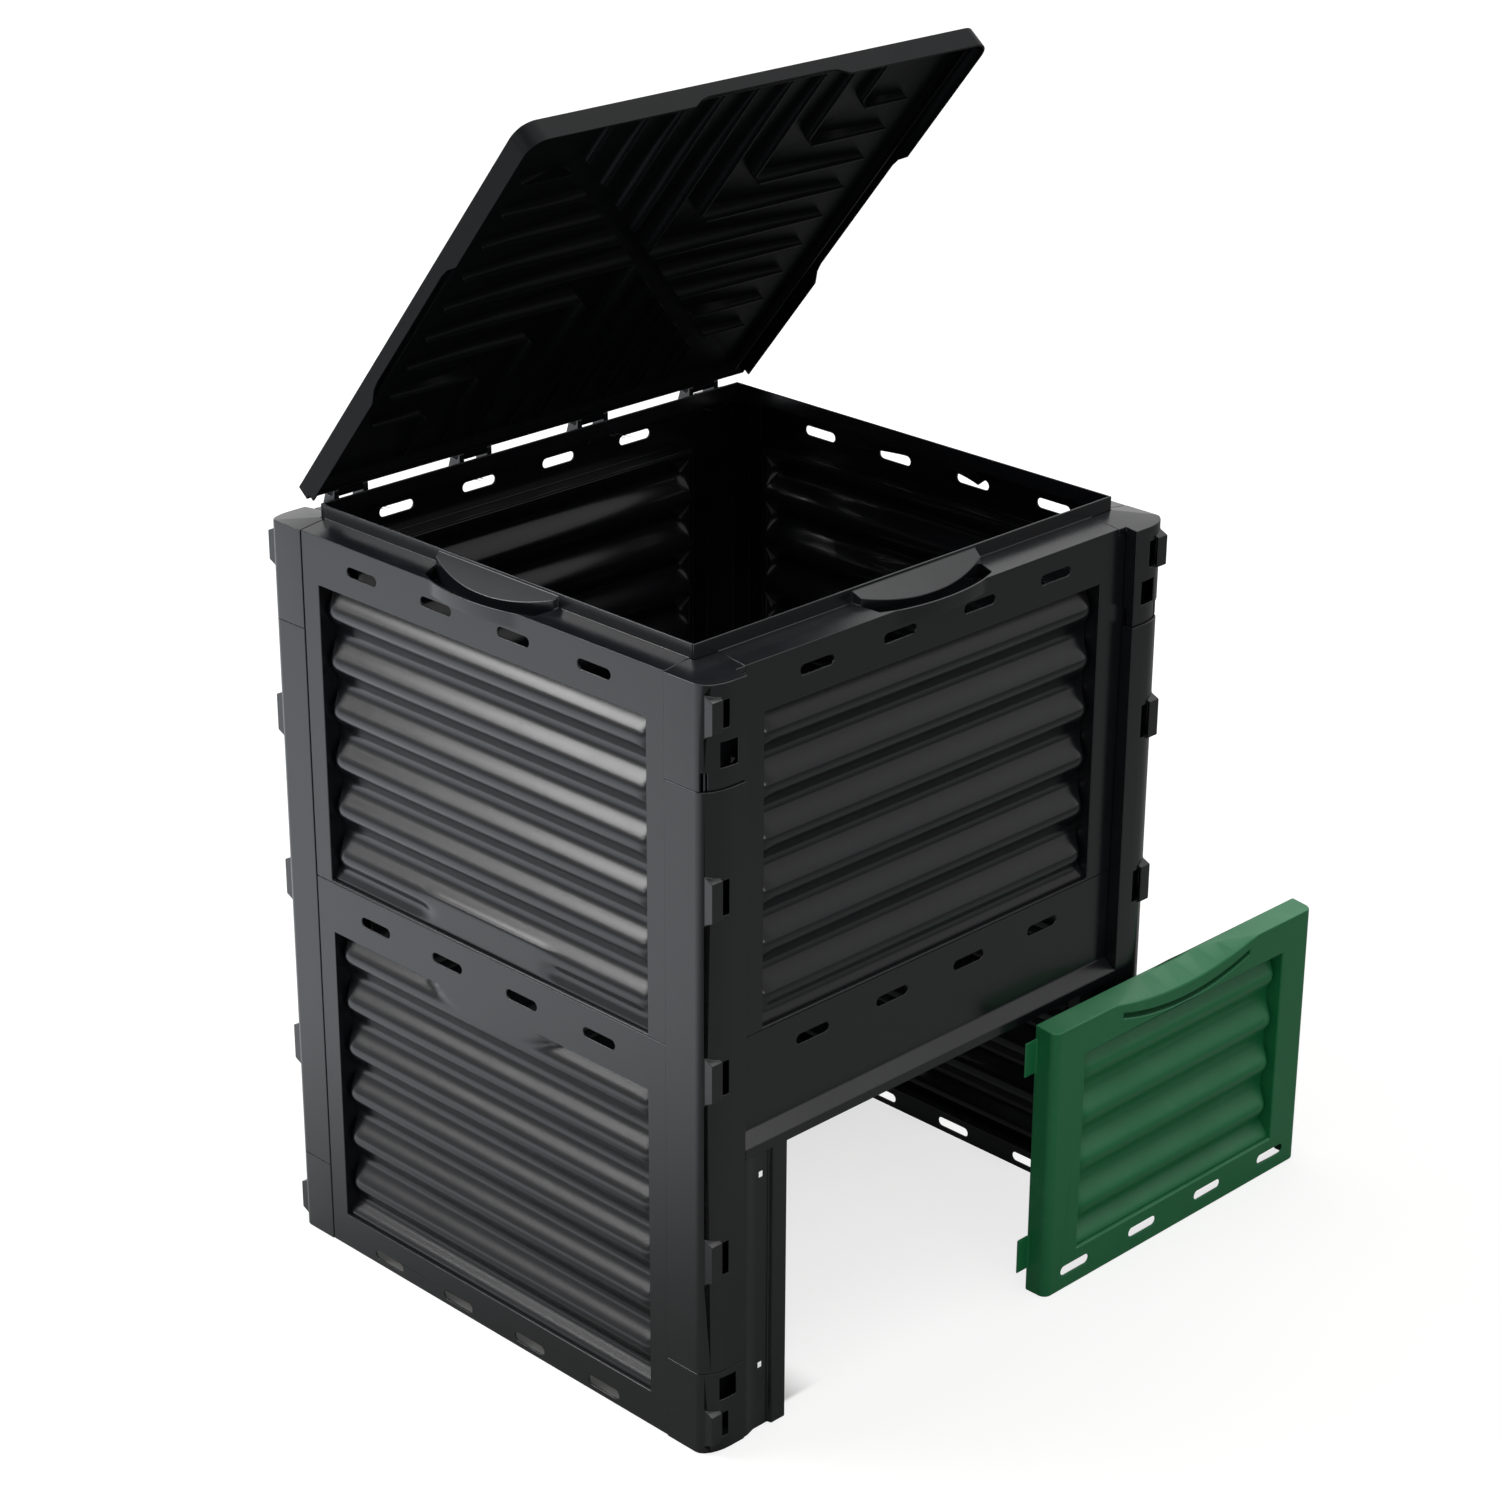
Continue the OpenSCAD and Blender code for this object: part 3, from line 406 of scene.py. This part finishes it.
class Workshop:
    """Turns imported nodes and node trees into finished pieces."""

    def __init__(self, nodes: dict[str, bpy.types.Object]) -> None:
        """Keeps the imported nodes."""
        self.nodes = nodes

    def moulded(self, node: str, name: str, radius: float, to_row: Matrix | None = None,
                window: Window | None = None, outward_only: bool = False) -> bpy.types.Object:
        """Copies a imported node, opens its corrugated recess and rounds its edges.

        Args:
            node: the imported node.
            name: the new piece's name.
            radius: how far its edges are rounded, in millimetres.
            to_row: the panel's matrix, where it has a recess.
            window: the recess that is opened for a field of its own.
            outward_only: whether inward edges, such as the feet of ribs, stay sharp.

        Returns:
            The new piece.
        """
        bm = bmesh.new()
        bm.from_mesh(self.nodes[node].data)
        bmesh.ops.remove_doubles(bm, verts=bm.verts, dist=WELD_DISTANCE)
        if window is not None:
            bmesh.ops.transform(bm, matrix=to_row.inverted(), verts=bm.verts)
            self._open_recess(bm, window)
            bmesh.ops.transform(bm, matrix=to_row, verts=bm.verts)
        self._flatten(bm)
        self._mark_creases(bm)
        if outward_only:
            self._weigh_outward_edges(bm)
        mesh = bpy.data.meshes.new(name)
        bm.to_mesh(mesh)
        bm.free()
        obj = new_object(name, mesh)
        self._round_edges(obj, radius, outward_only)
        return obj

    @staticmethod
    def _weigh_outward_edges(bm: bmesh.types.BMesh) -> None:
        """Marks the outward edges for rounding.

        Args:
            bm: the mesh.
        """
        weight = bm.edges.layers.float.new("bevel_weight_edge")
        for edge in bm.edges:
            if len(edge.link_faces) == 2 and edge.is_convex and edge.calc_face_angle() > SMOOTH_ANGLE:
                edge[weight] = 1.0

    @staticmethod
    def _flatten(bm: bmesh.types.BMesh) -> None:
        """Joins the triangles of each flat face."""
        bmesh.ops.dissolve_limit(bm, angle_limit=FLAT_ANGLE, use_dissolve_boundaries=False,
                                 verts=bm.verts, edges=bm.edges)

    @staticmethod
    def _mark_creases(bm: bmesh.types.BMesh) -> None:
        """Keeps the shallow creases between broad flat faces sharp.

        Args:
            bm: the mesh.
        """
        breadth = {face: 2 * face.calc_area() / face.calc_perimeter() for face in bm.faces}
        for edge in bm.edges:
            if len(edge.link_faces) != 2 or edge.calc_face_angle() < CREASE_ANGLE:
                continue
            if min(breadth[face] for face in edge.link_faces) > CREASE_BREADTH:
                edge.smooth = False

    def _open_recess(self, bm: bmesh.types.BMesh, window: Window) -> None:
        """Clears the recess and gives it four plain walls.

        Args:
            bm: the panel's mesh in the panel's own frame.
            window: the recess.
        """
        half, foot, top, depth = (v * MM for v in (window.half_width, window.foot, window.top, window.depth))
        for point, normal in (((-half, 0, 0), (1, 0, 0)), ((half, 0, 0), (1, 0, 0)),
                              ((0, 0, foot), (0, 0, 1)), ((0, 0, top), (0, 0, 1))):
            everything = bm.verts[:] + bm.edges[:] + bm.faces[:]
            bmesh.ops.bisect_plane(bm, geom=everything, dist=WELD_DISTANCE, plane_co=point, plane_no=normal)
        inside = []
        for face in bm.faces:
            c = face.calc_center_median()
            across = abs(c.x) < half + CUT_SLACK
            upright = foot - CUT_SLACK < c.z < top + CUT_SLACK
            if across and upright and -CUT_SLACK < c.y < depth + CUT_SLACK:
                inside.append(face)
        bmesh.ops.delete(bm, geom=inside, context="FACES")
        bmesh.ops.remove_doubles(bm, verts=bm.verts, dist=WELD_DISTANCE)
        self._flatten(bm)
        rim = [(-half, foot), (half, foot), (half, top), (-half, top)]
        rings = [[self._vertex_at(bm, Vector((x, y, z))) for x, z in rim] for y in (0.0, depth)]
        for i in range(len(rim)):
            j = (i + 1) % len(rim)
            bm.faces.new((rings[0][i], rings[1][i], rings[1][j], rings[0][j]))
        bmesh.ops.recalc_face_normals(bm, faces=bm.faces)

    @staticmethod
    def _vertex_at(bm: bmesh.types.BMesh, place: Vector) -> bmesh.types.BMVert:
        """Finds the vertex at a place, or makes it there.

        Args:
            bm: the mesh.
            place: where the vertex is looked for.

        Returns:
            The vertex.
        """
        nearest = min(bm.verts, key=lambda v: (v.co - place).length_squared)
        if (nearest.co - place).length < CORNER_REACH:
            return nearest
        LOG.warning("no vertex at %s, nearest %.2f mm", tuple(place), (nearest.co - place).length / MM)
        return bm.verts.new(place)

    def _round_edges(self, obj: bpy.types.Object, radius: float, outward_only: bool) -> None:
        """Rounds a piece's sharp edges and shades it smoothly.

        Args:
            obj: the piece.
            radius: how far the edges are rounded, in millimetres.
            outward_only: whether only the weighed edges are rounded.
        """
        bevel = obj.modifiers.new("round", "BEVEL")
        bevel.width = radius * MM
        bevel.segments = ROUNDING_STEPS
        bevel.limit_method = "WEIGHT" if outward_only else "ANGLE"
        bevel.angle_limit = SMOOTH_ANGLE
        bevel.use_clamp_overlap = False
        bevel.miter_outer = "MITER_SHARP"
        flat = obj.modifiers.new("flat", "WEIGHTED_NORMAL")
        flat.weight = BROAD_FACE_WEIGHT
        flat.keep_sharp = True
        shade_smooth(obj.data)
        bake_modifiers(obj)

    def ship(self, obj: bpy.types.Object, body: str, slot: str, finish: bpy.types.Material,
             *replaced: str) -> None:
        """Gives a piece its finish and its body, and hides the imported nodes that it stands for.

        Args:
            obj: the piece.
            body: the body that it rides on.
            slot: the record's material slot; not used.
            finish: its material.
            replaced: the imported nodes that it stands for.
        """
        obj.data.materials.clear()
        obj.data.materials.append(finish)
        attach(obj, body)
        if replaced:
            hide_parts(*replaced)
        LOG.info("%s rides on %s, %d faces", obj.name, body, len(obj.data.polygons))


def new_object(name: str, data: bpy.types.ID) -> bpy.types.Object:
    """Links data into the scene as a new object.

    Args:
        name: the object's name.
        data: its mesh, lamp or camera.

    Returns:
        The object.
    """
    obj = bpy.data.objects.new(name, data)
    bpy.context.scene.collection.objects.link(obj)
    return obj


def shade_smooth(mesh: bpy.types.Mesh) -> None:
    """Shades every face of a mesh smoothly."""
    for polygon in mesh.polygons:
        polygon.use_smooth = True


def bake_modifiers(obj: bpy.types.Object) -> None:
    """Turns a piece and its modifiers into a plain mesh.

    Args:
        obj: the piece.
    """
    bpy.context.view_layer.update()
    evaluated = obj.evaluated_get(bpy.context.evaluated_depsgraph_get())
    mesh = bpy.data.meshes.new_from_object(evaluated)
    obj.modifiers.clear()
    obj.data = mesh


class WaveField:
    """Corrugated field of a panel, made by one node tree."""

    WALL = 2.2
    COLUMNS = 64
    ROWS_PER_WAVE = 22
    COLUMN_CROWDING = 0.5
    PLATE_SIDE_RUN = 20.0
    PLATE_END_RUN = 0.25 * PLATE_SIDE_RUN
    FOOT_RISE = 22.0
    LENGTHS = ("Width", "Height", "Pitch", "First crest", "Crest depth", "Wave depth", "End radius",
               "Foot rise", "Plate half width", "Plate start", "Plate end", "Plate side run",
               "Plate end run")

    def __init__(self) -> None:
        """Builds the node tree that all fields share."""
        self.tree = bpy.data.node_groups.new("wave_field", "GeometryNodeTree")
        self.sockets: dict[str, str] = {}
        for name in (*self.LENGTHS, "Hem roundness"):
            self._input(name, "NodeSocketFloat")
        for name in ("Columns", "Rows"):
            self._input(name, "NodeSocketInt")
        self._input("Finish", "NodeSocketMaterial")
        self.tree.interface.new_socket(name="Geometry", in_out="OUTPUT", socket_type="NodeSocketGeometry")
        self._build()

    def _input(self, name: str, kind: str) -> None:
        """Adds a named input to the tree."""
        socket = self.tree.interface.new_socket(name=name, in_out="INPUT", socket_type=kind)
        self.sockets[name] = socket.identifier

    def _build(self) -> None:
        """Fills the tree: a grid that is pushed in by the wave's formula.

        The grid's columns crowd towards both ends, where the crests bend back round the end radius.
        """
        g = Graph(self.tree)
        group_in = self.tree.nodes.new("NodeGroupInput")
        v = {name: Sock(g, group_in.outputs[name]) for name in self.sockets}
        grid = g.add("GeometryNodeMeshGrid", None, {
            "Size X": 2.0, "Size Y": v["Height"], "Vertices X": v["Columns"], "Vertices Y": v["Rows"]})
        u, y, _ = g.split(g.add("GeometryNodeInputPosition"))
        half_width, half_height = v["Width"] * 0.5, v["Height"] * 0.5
        x = half_width * u * ((1.0 + self.COLUMN_CROWDING) - self.COLUMN_CROWDING * u * u)
        side = x.size()
        drop = half_height - y
        depth = self._wave(v, half_width - side, drop)
        plate = self._plate(v, side, drop)
        depth = depth + (v["Crest depth"] - depth) * plate
        place = g.add("ShaderNodeCombineXYZ", None, {0: x, 1: depth, 2: y})
        moved = g.add("GeometryNodeSetPosition", None, {"Geometry": grid, "Position": place})
        real = g.add("GeometryNodeRealizeInstances", None, {0: moved})
        g.end("NodeGroupOutput", g.add("GeometryNodeSetMaterial", None, {
            "Geometry": real, "Material": v["Finish"]}))

    @staticmethod
    def _wave(v: dict[str, Sock], from_end: Sock, drop: Sock) -> Sock:
        """How deep the corrugated sheet lies.

        Args:
            v: the tree's inputs.
            from_end: the distance from the field's nearer end.
            drop: the distance down from its top.

        Returns:
            The depth behind the panel's face.
        """
        phase = (drop - v["First crest"]) / v["Pitch"] * math.tau
        rise = 0.5 + 0.5 * phase.math("COSINE")
        bend = 1.0 - (from_end / v["End radius"]).clamped()
        crest = rise * (1.0 - bend * bend).root()
        foot = ((v["Height"] - drop) / v["Foot rise"]).clamped().eased()
        return v["Crest depth"] + v["Wave depth"] * (1.0 - crest) * foot

    @classmethod
    def _plate(cls, v: dict[str, Sock], side: Sock, drop: Sock) -> Sock:
        """Where the bare plate lies.

        Args:
            v: the tree's inputs.
            side: the distance from the field's middle line.
            drop: the distance down from its top.

        Returns:
            1 on the plate and 0 off it.
        """
        within = cls._soft(side * -1.0, v["Plate half width"] * -1.0, v["Plate side run"])
        below_start = cls._soft(drop, v["Plate start"], v["Plate end run"])
        across = (side / v["Plate half width"]).clamped() * v["Hem roundness"]
        hem = v["Plate end"] * (1.0 - across * across).root()
        above_hem = cls._soft(drop * -1.0, hem * -1.0, v["Plate end run"])
        return within * below_start * above_hem

    @staticmethod
    def _soft(value: Sock, edge: Sock, run: Sock) -> Sock:
        """Rises from 0 to 1 over a run that is centred on an edge."""
        return ((value - edge) / run + 0.5).clamped().eased()

    def make(self, name: str, window: Window, to_row: Matrix, finish: bpy.types.Material) -> bpy.types.Object:
        """Makes one field.

        Args:
            name: the piece's name.
            window: its recess.
            to_row: its panel's matrix.
            finish: its material.

        Returns:
            The piece, with its place in its mesh.
        """
        obj = new_object(name, bpy.data.meshes.new(name))
        modifier = obj.modifiers.new("waves", "NODES")
        modifier.node_group = self.tree
        for key, value in self._values(window, finish).items():
            modifier[self.sockets[key]] = value
        bake_modifiers(obj)
        self._set_in_place(obj.data, window, to_row)
        thick = obj.modifiers.new("wall", "SOLIDIFY")
        thick.thickness = self.WALL * MM
        thick.offset = -1.0
        shade_smooth(obj.data)
        bake_modifiers(obj)
        return obj

    def _values(self, window: Window, finish: bpy.types.Material) -> dict[str, object]:
        """The tree's inputs for one field.

        Args:
            window: the field's recess.
            finish: its material.

        Returns:
            Each input's value by its name, with lengths in metres.
        """
        plate = window.plate
        lengths = (2 * window.half_width, window.height, window.pitch, window.first_crest,
                   window.crest_depth, window.wave_depth, window.end_radius, self.FOOT_RISE,
                   plate.half_width, plate.start, plate.end, self.PLATE_SIDE_RUN, self.PLATE_END_RUN)
        values: dict[str, object] = {name: length * MM for name, length in zip(self.LENGTHS, lengths)}
        values["Hem roundness"] = plate.hem_roundness
        values["Columns"] = self.COLUMNS
        values["Rows"] = round(window.height / window.pitch * self.ROWS_PER_WAVE) + 1
        values["Finish"] = finish
        return values

    @staticmethod
    def _set_in_place(mesh: bpy.types.Mesh, window: Window, to_row: Matrix) -> None:
        """Moves a field to its recess and turns its faces outwards.

        Args:
            mesh: the field's mesh.
            window: its recess.
            to_row: its panel's matrix.
        """
        bm = bmesh.new()
        bm.from_mesh(mesh)
        middle = Matrix.Translation((0, 0, (window.top + window.foot) / 2 * MM))
        bmesh.ops.transform(bm, matrix=to_row @ middle, verts=bm.verts)
        outwards = to_row.to_3x3() @ Vector((0, -1, 0))
        if sum(face.normal.dot(outwards) for face in bm.faces) < 0:
            bmesh.ops.reverse_faces(bm, faces=bm.faces)
        bm.to_mesh(mesh)
        bm.free()


@dataclass
class Panels:
    """The seven corrugated panels and the frame over the hatchway, in millimetres."""

    layout: Layout
    workshop: Workshop
    waves: WaveField
    edge: float = 0.8
    half_width: float = 227.0
    upper_foot: float = 418.5
    upper_top: float = 729.0
    lower_foot: float = 38.0
    lower_top: float = 362.0
    recess: float = 20.2
    plate_overrun: float = 20.0
    foot_plate_half: float = 85.0
    foot_plate_height: float = 33.0
    top_plate_half: float = 88.0
    top_plate_height: float = 26.0

    def upper(self, facing: Facing) -> Window:
        """The recess of an upper panel, where the side panels have a square plate at the foot.

        Args:
            facing: which way the panel faces.

        Returns:
            The recess.
        """
        height = self.upper_top - self.upper_foot
        plate = Plate()
        if facing in (Facing.LEFT, Facing.RIGHT):
            plate = Plate(self.foot_plate_half, height - self.foot_plate_height, height + self.plate_overrun)
        return Window(self.half_width, self.upper_foot, self.upper_top, self.recess, plate)

    def lower(self) -> Window:
        """The recess of a lower panel, with a round plate at its top."""
        plate = Plate(self.top_plate_half, -self.plate_overrun, self.top_plate_height, hem_roundness=1.0)
        return Window(self.half_width, self.lower_foot, self.lower_top, self.recess, plate)

    def build(self, finish: bpy.types.Material) -> None:
        """Builds and dresses every panel.

        Args:
            finish: the panels' material.
        """
        for facing in Facing:
            self._panel("upper_panel", self.upper(facing), facing, finish)
            if facing is not Facing.FRONT:
                self._panel("lower_panel", self.lower(), facing, finish)
        frame = self.workshop.moulded("lower_front_frame", "lower_front_frame_shell", self.edge)
        self.workshop.ship(frame, "bin", "black_plastic", finish, "lower_front_frame")

    def _panel(self, row: str, window: Window, facing: Facing, finish: bpy.types.Material) -> None:
        """Builds one panel's shell and its field.

        Args:
            row: the panel's row, upper or lower.
            window: its recess.
            facing: which way it faces.
            finish: its material.
        """
        node = f"{row}_{facing.name.lower()}"
        to_row = self.layout.to_row(facing)
        shell = self.workshop.moulded(node, f"{node}_shell", self.edge, to_row, window)
        self.workshop.ship(shell, "bin", "black_plastic", finish, node)
        sheet = self.waves.make(f"{node}_waves", window, to_row, finish)
        self.workshop.ship(sheet, "bin", "black_plastic", finish)


@dataclass
class Corners:
    """The twelve pieces of the four corner posts."""

    workshop: Workshop
    edge: float = 0.8

    def build(self, finish: bpy.types.Material) -> None:
        """Builds and dresses every corner piece.

        Args:
            finish: their material.
        """
        for row in ("top_corner", "post", "foot_corner"):
            for place in ("front_left", "front_right", "back_left", "back_right"):
                node = f"{row}_{place}"
                piece = self.workshop.moulded(node, f"{node}_shell", self.edge)
                self.workshop.ship(piece, "bin", "black_plastic", finish, node)


@dataclass
class Lid:
    """The hinged lid, whose ribs meet its sheet at sharp feet."""

    workshop: Workshop
    edge: float = 0.4

    def build(self, finish: bpy.types.Material) -> None:
        """Builds and dresses the lid."""
        piece = self.workshop.moulded("lid", "lid_shell", self.edge, outward_only=True)
        self.workshop.ship(piece, "lid", "black_plastic", finish, "lid")


@dataclass
class Door:
    """The green hatch door, in millimetres."""

    workshop: Workshop
    waves: WaveField
    edge: float = 1.4
    half_field: float = 159.5
    foot: float = 40.0
    top: float = 262.0
    recess: float = 20.2

    def build(self, finish: bpy.types.Material) -> None:
        """Builds and dresses the door.

        Args:
            finish: its material.
        """
        low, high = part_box("door")
        window = Window(self.half_field, self.foot, self.top, self.recess)
        to_row = Matrix.Translation(((low[0] + high[0]) / 2, low[1], 0))
        shell = self.workshop.moulded("door", "door_shell", self.edge, to_row, window)
        self.workshop.ship(shell, "door", "green_plastic", finish, "door")
        sheet = self.waves.make("door_waves", window, to_row, finish)
        self.workshop.ship(sheet, "door", "green_plastic", finish)


@dataclass(frozen=True)
class Surroundings:
    """What stands round the bin: white to look at, and softer as a light."""

    light: float = 0.22
    front_white: float = 0.45
    turn: tuple[float, float] = (-0.2, 0.75)

    def build(self) -> None:
        """Makes the world."""
        world = bpy.data.worlds.new("surroundings")
        bpy.context.scene.world = world
        world.use_nodes = True
        g = Graph(world.node_tree)
        seen, _ = g.seen_rays()
        x, y, _ = g.split(g.add("ShaderNodeTexCoord", output="Generated"))
        behind = ((x + y) * DIAGONAL).ramp(*self.turn)
        shown = self.front_white + (1.0 - self.front_white) * behind
        strength = self.light * (1.0 - seen) + shown * seen
        g.end("ShaderNodeOutputWorld", g.add("ShaderNodeBackground", None, {
            "Color": WHITE, "Strength": strength}))


@dataclass(frozen=True)
class Floor:
    """A large pale floor that fades to white, with painted shade that darkens it in the bin's shelter, in
    metres.
    """

    centre: Vector
    half_size: float = 40.0
    colour: str = "#a3a4a1"
    white: float = 0.78
    fade_to_white: tuple[float, float] = (0.7, 2.2)
    # painted reflection: the tint and the rise of the floor's glow that only reflections show
    mirror_colour: str = "#edf3fc"
    mirror_near: float = 0.04
    mirror_rise: tuple[float, float] = (0.25, 1.1)
    under_bin: tuple[float, float] = (0.303, 0.31)
    front_set_back: float = 0.019
    hatch_shade: tuple[float, float] = (-0.36, 1.5)
    left_shade: tuple[float, float] = (-0.23, -0.13)
    shade_depth: float = 0.97

    def build(self) -> None:
        """Lays the floor."""
        bm = bmesh.new()
        bmesh.ops.create_grid(bm, x_segments=2, y_segments=2, size=self.half_size)
        mesh = bpy.data.meshes.new("floor")
        bm.to_mesh(mesh)
        bm.free()
        floor = new_object("floor", mesh)
        mesh.materials.append(self._material())

    def _material(self) -> bpy.types.Material:
        """Makes the floor's material: plain to the light, with a glow that only shows, and which carries
        painted shade under the bin and a painted reflection in its faces.

        Returns:
            The material.
        """
        material = bpy.data.materials.new("pale_floor")
        material.use_nodes = True
        g = Graph(material.node_tree)
        seen, camera = g.seen_rays()
        x, y, _ = g.split(g.add("ShaderNodeTexCoord", output="Object"))
        strength = self._shown(x - self.centre.x, y - self.centre.y) * camera
        # painted reflection: a glow that only reflections see, dark near the bin and bright to the back left
        strength = strength + self._painted_reflection(x, y) * (seen - camera)
        tint = g.mix_colour(camera, linear(self.mirror_colour), WHITE)
        plain = g.add("ShaderNodeBsdfDiffuse", None, {"Color": linear(self.colour)})
        glow = g.add("ShaderNodeEmission", None, {"Color": tint, "Strength": strength})
        g.end("ShaderNodeOutputMaterial", g.add("ShaderNodeAddShader", None, {0: plain, 1: glow}))
        return material

    def _painted_reflection(self, x: Sock, y: Sock) -> Sock:
        """How bright the floor's glow is in reflections alone, a painted reflection in the bin's faces: dark
        at the bin, bright away to the back left.
        """
        away = ((y - x) * DIAGONAL).ramp(*self.mirror_rise)
        return self.mirror_near + (1.0 - self.mirror_near) * away

    def _shown(self, x: Sock, y: Sock) -> Sock:
        """How bright the floor looks.

        Args:
            x: the place from the bin's middle line, to the right.
            y: the same to the back.

        Returns:
            The glow's strength, which falls within the bin's walls, towards its back and left side: painted
            shade.
        """
        far = x.size().larger(y.size()).ramp(*self.fade_to_white)
        white = self.white + (1.0 - self.white) * far
        # painted shade: the floor's glow dims within the bin's walls, where its shadow falls
        walls = x.size().larger(y.size() + self.front_set_back)
        painted_shade_inside = 1.0 - walls.ramp(*self.under_bin)
        deep = y.ramp(*self.hatch_shade).larger(1.0 - x.ramp(*self.left_shade))
        return white * (1.0 - self.shade_depth * deep * painted_shade_inside)


@dataclass(frozen=True)
class Lamp:
    """One soft area lamp, in metres and watts."""

    name: str
    place: tuple[float, float, float]
    width: float
    height: float
    watts: float
    aim: Aim = Aim.AT_BIN
    bin_middle: tuple[float, float, float] = (-0.1, 0.0, 0.45)

    def build(self) -> None:
        """Hangs the lamp."""
        light = bpy.data.lights.new(self.name, "AREA")
        light.shape = "RECTANGLE"
        light.size = self.width
        light.size_y = self.height
        light.energy = self.watts
        obj = new_object(self.name, light)
        obj.location = self.place
        down = Vector((0, 0, -1))
        towards = down if self.aim is Aim.DOWN else Vector(self.bin_middle) - obj.location
        obj.rotation_euler = towards.to_track_quat("-Z", "Y").to_euler()


@dataclass(frozen=True)
class Viewpoint:
    """The camera where the photograph was taken, in degrees and metres from the bin's centre."""

    centre: Vector
    lens_px: float = 3541.5
    picture_px: float = 1500.0
    sensor: float = 36.0
    azimuth: float = -44.947
    elevation: float = 23.224
    roll: float = 0.281
    distance: float = 3.5449
    target: tuple[float, float, float] = (0.04964, 0.0043, 0.51921)
    sight: float = 200.0

    def build(self) -> None:
        """Sets up the camera."""
        az, el, roll = (math.radians(a) for a in (self.azimuth, self.elevation, self.roll))
        back = Vector((math.sin(az) * math.cos(el), -math.cos(az) * math.cos(el), math.sin(el)))
        right = Vector((math.cos(az), math.sin(az), 0))
        up = back.cross(right)
        x = math.cos(roll) * right + math.sin(roll) * up
        y = math.cos(roll) * up - math.sin(roll) * right
        eye = self.centre + Vector(self.target) + self.distance * back
        data = bpy.data.cameras.new("camera")
        data.sensor_width = self.sensor
        data.lens = self.lens_px * self.sensor / self.picture_px
        data.clip_end = self.sight
        camera = new_object("camera", data)
        turn = Matrix((x, y, back)).transposed()
        camera.matrix_world = Matrix.Translation(eye) @ turn.to_4x4()
        bpy.context.scene.camera = camera


@dataclass(frozen=True)
class Studio:
    """Floor, white surroundings, lamps and camera."""

    layout: Layout
    lamps: tuple[Lamp, ...] = (
        Lamp("left_strip", (-6.5, 4.25, 4.0), 4.5, 0.36, 40.0),
        Lamp("front_fill", (-0.9, -2.4, 0.9), 0.9, 0.5, 4.0),
        Lamp("left_floor_light", (-1.5, 1.1, 1.7), 1.0, 1.0, 26.0, Aim.DOWN),
        Lamp("ceiling", (0.1, 0.1, 3.0), 3.2, 3.2, 56.0, Aim.DOWN),
    )

    def build(self) -> None:
        """Sets up everything round the object."""
        Surroundings().build()
        Floor(self.layout.centre).build()
        for lamp in self.lamps:
            lamp.build()
        Viewpoint(self.layout.centre).build()
        bpy.context.scene.view_settings.view_transform = "Standard"


BLACK = MouldedPlastic("black_moulded", "#0e0f12", "#1a1c20", "#4a4d50", 0.22, 0.58, dust_amount=0.07)
# the lid's copy of the black plastic: its darker colour is painted shade for the underside, and it is also
# rougher and duller
SHADED_LID_BLACK = MouldedPlastic("black_lid_shaded", "#090a0c", "#131517", "#3c3f42", 0.44, 0.1, dust_amount=0.05)
GREEN = MouldedPlastic("green_moulded", "#18703f", "#278d58", "#86b89a", 0.36, 0.42, dust_amount=0.35)


def main() -> None:
    """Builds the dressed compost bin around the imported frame."""
    logging.basicConfig(level=logging.INFO, format="%(name)s: %(message)s")
    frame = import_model()
    layout = Layout.from_frame()
    Studio(layout).build()
    black = BLACK.build()
    workshop = Workshop(frame["nodes"])
    waves = WaveField()
    Panels(layout, workshop, waves).build(black)
    Corners(workshop).build(black)
    Lid(workshop).build(SHADED_LID_BLACK.build())
    Door(workshop, waves).build(GREEN.build())


if __name__ == "__main__":
    main()
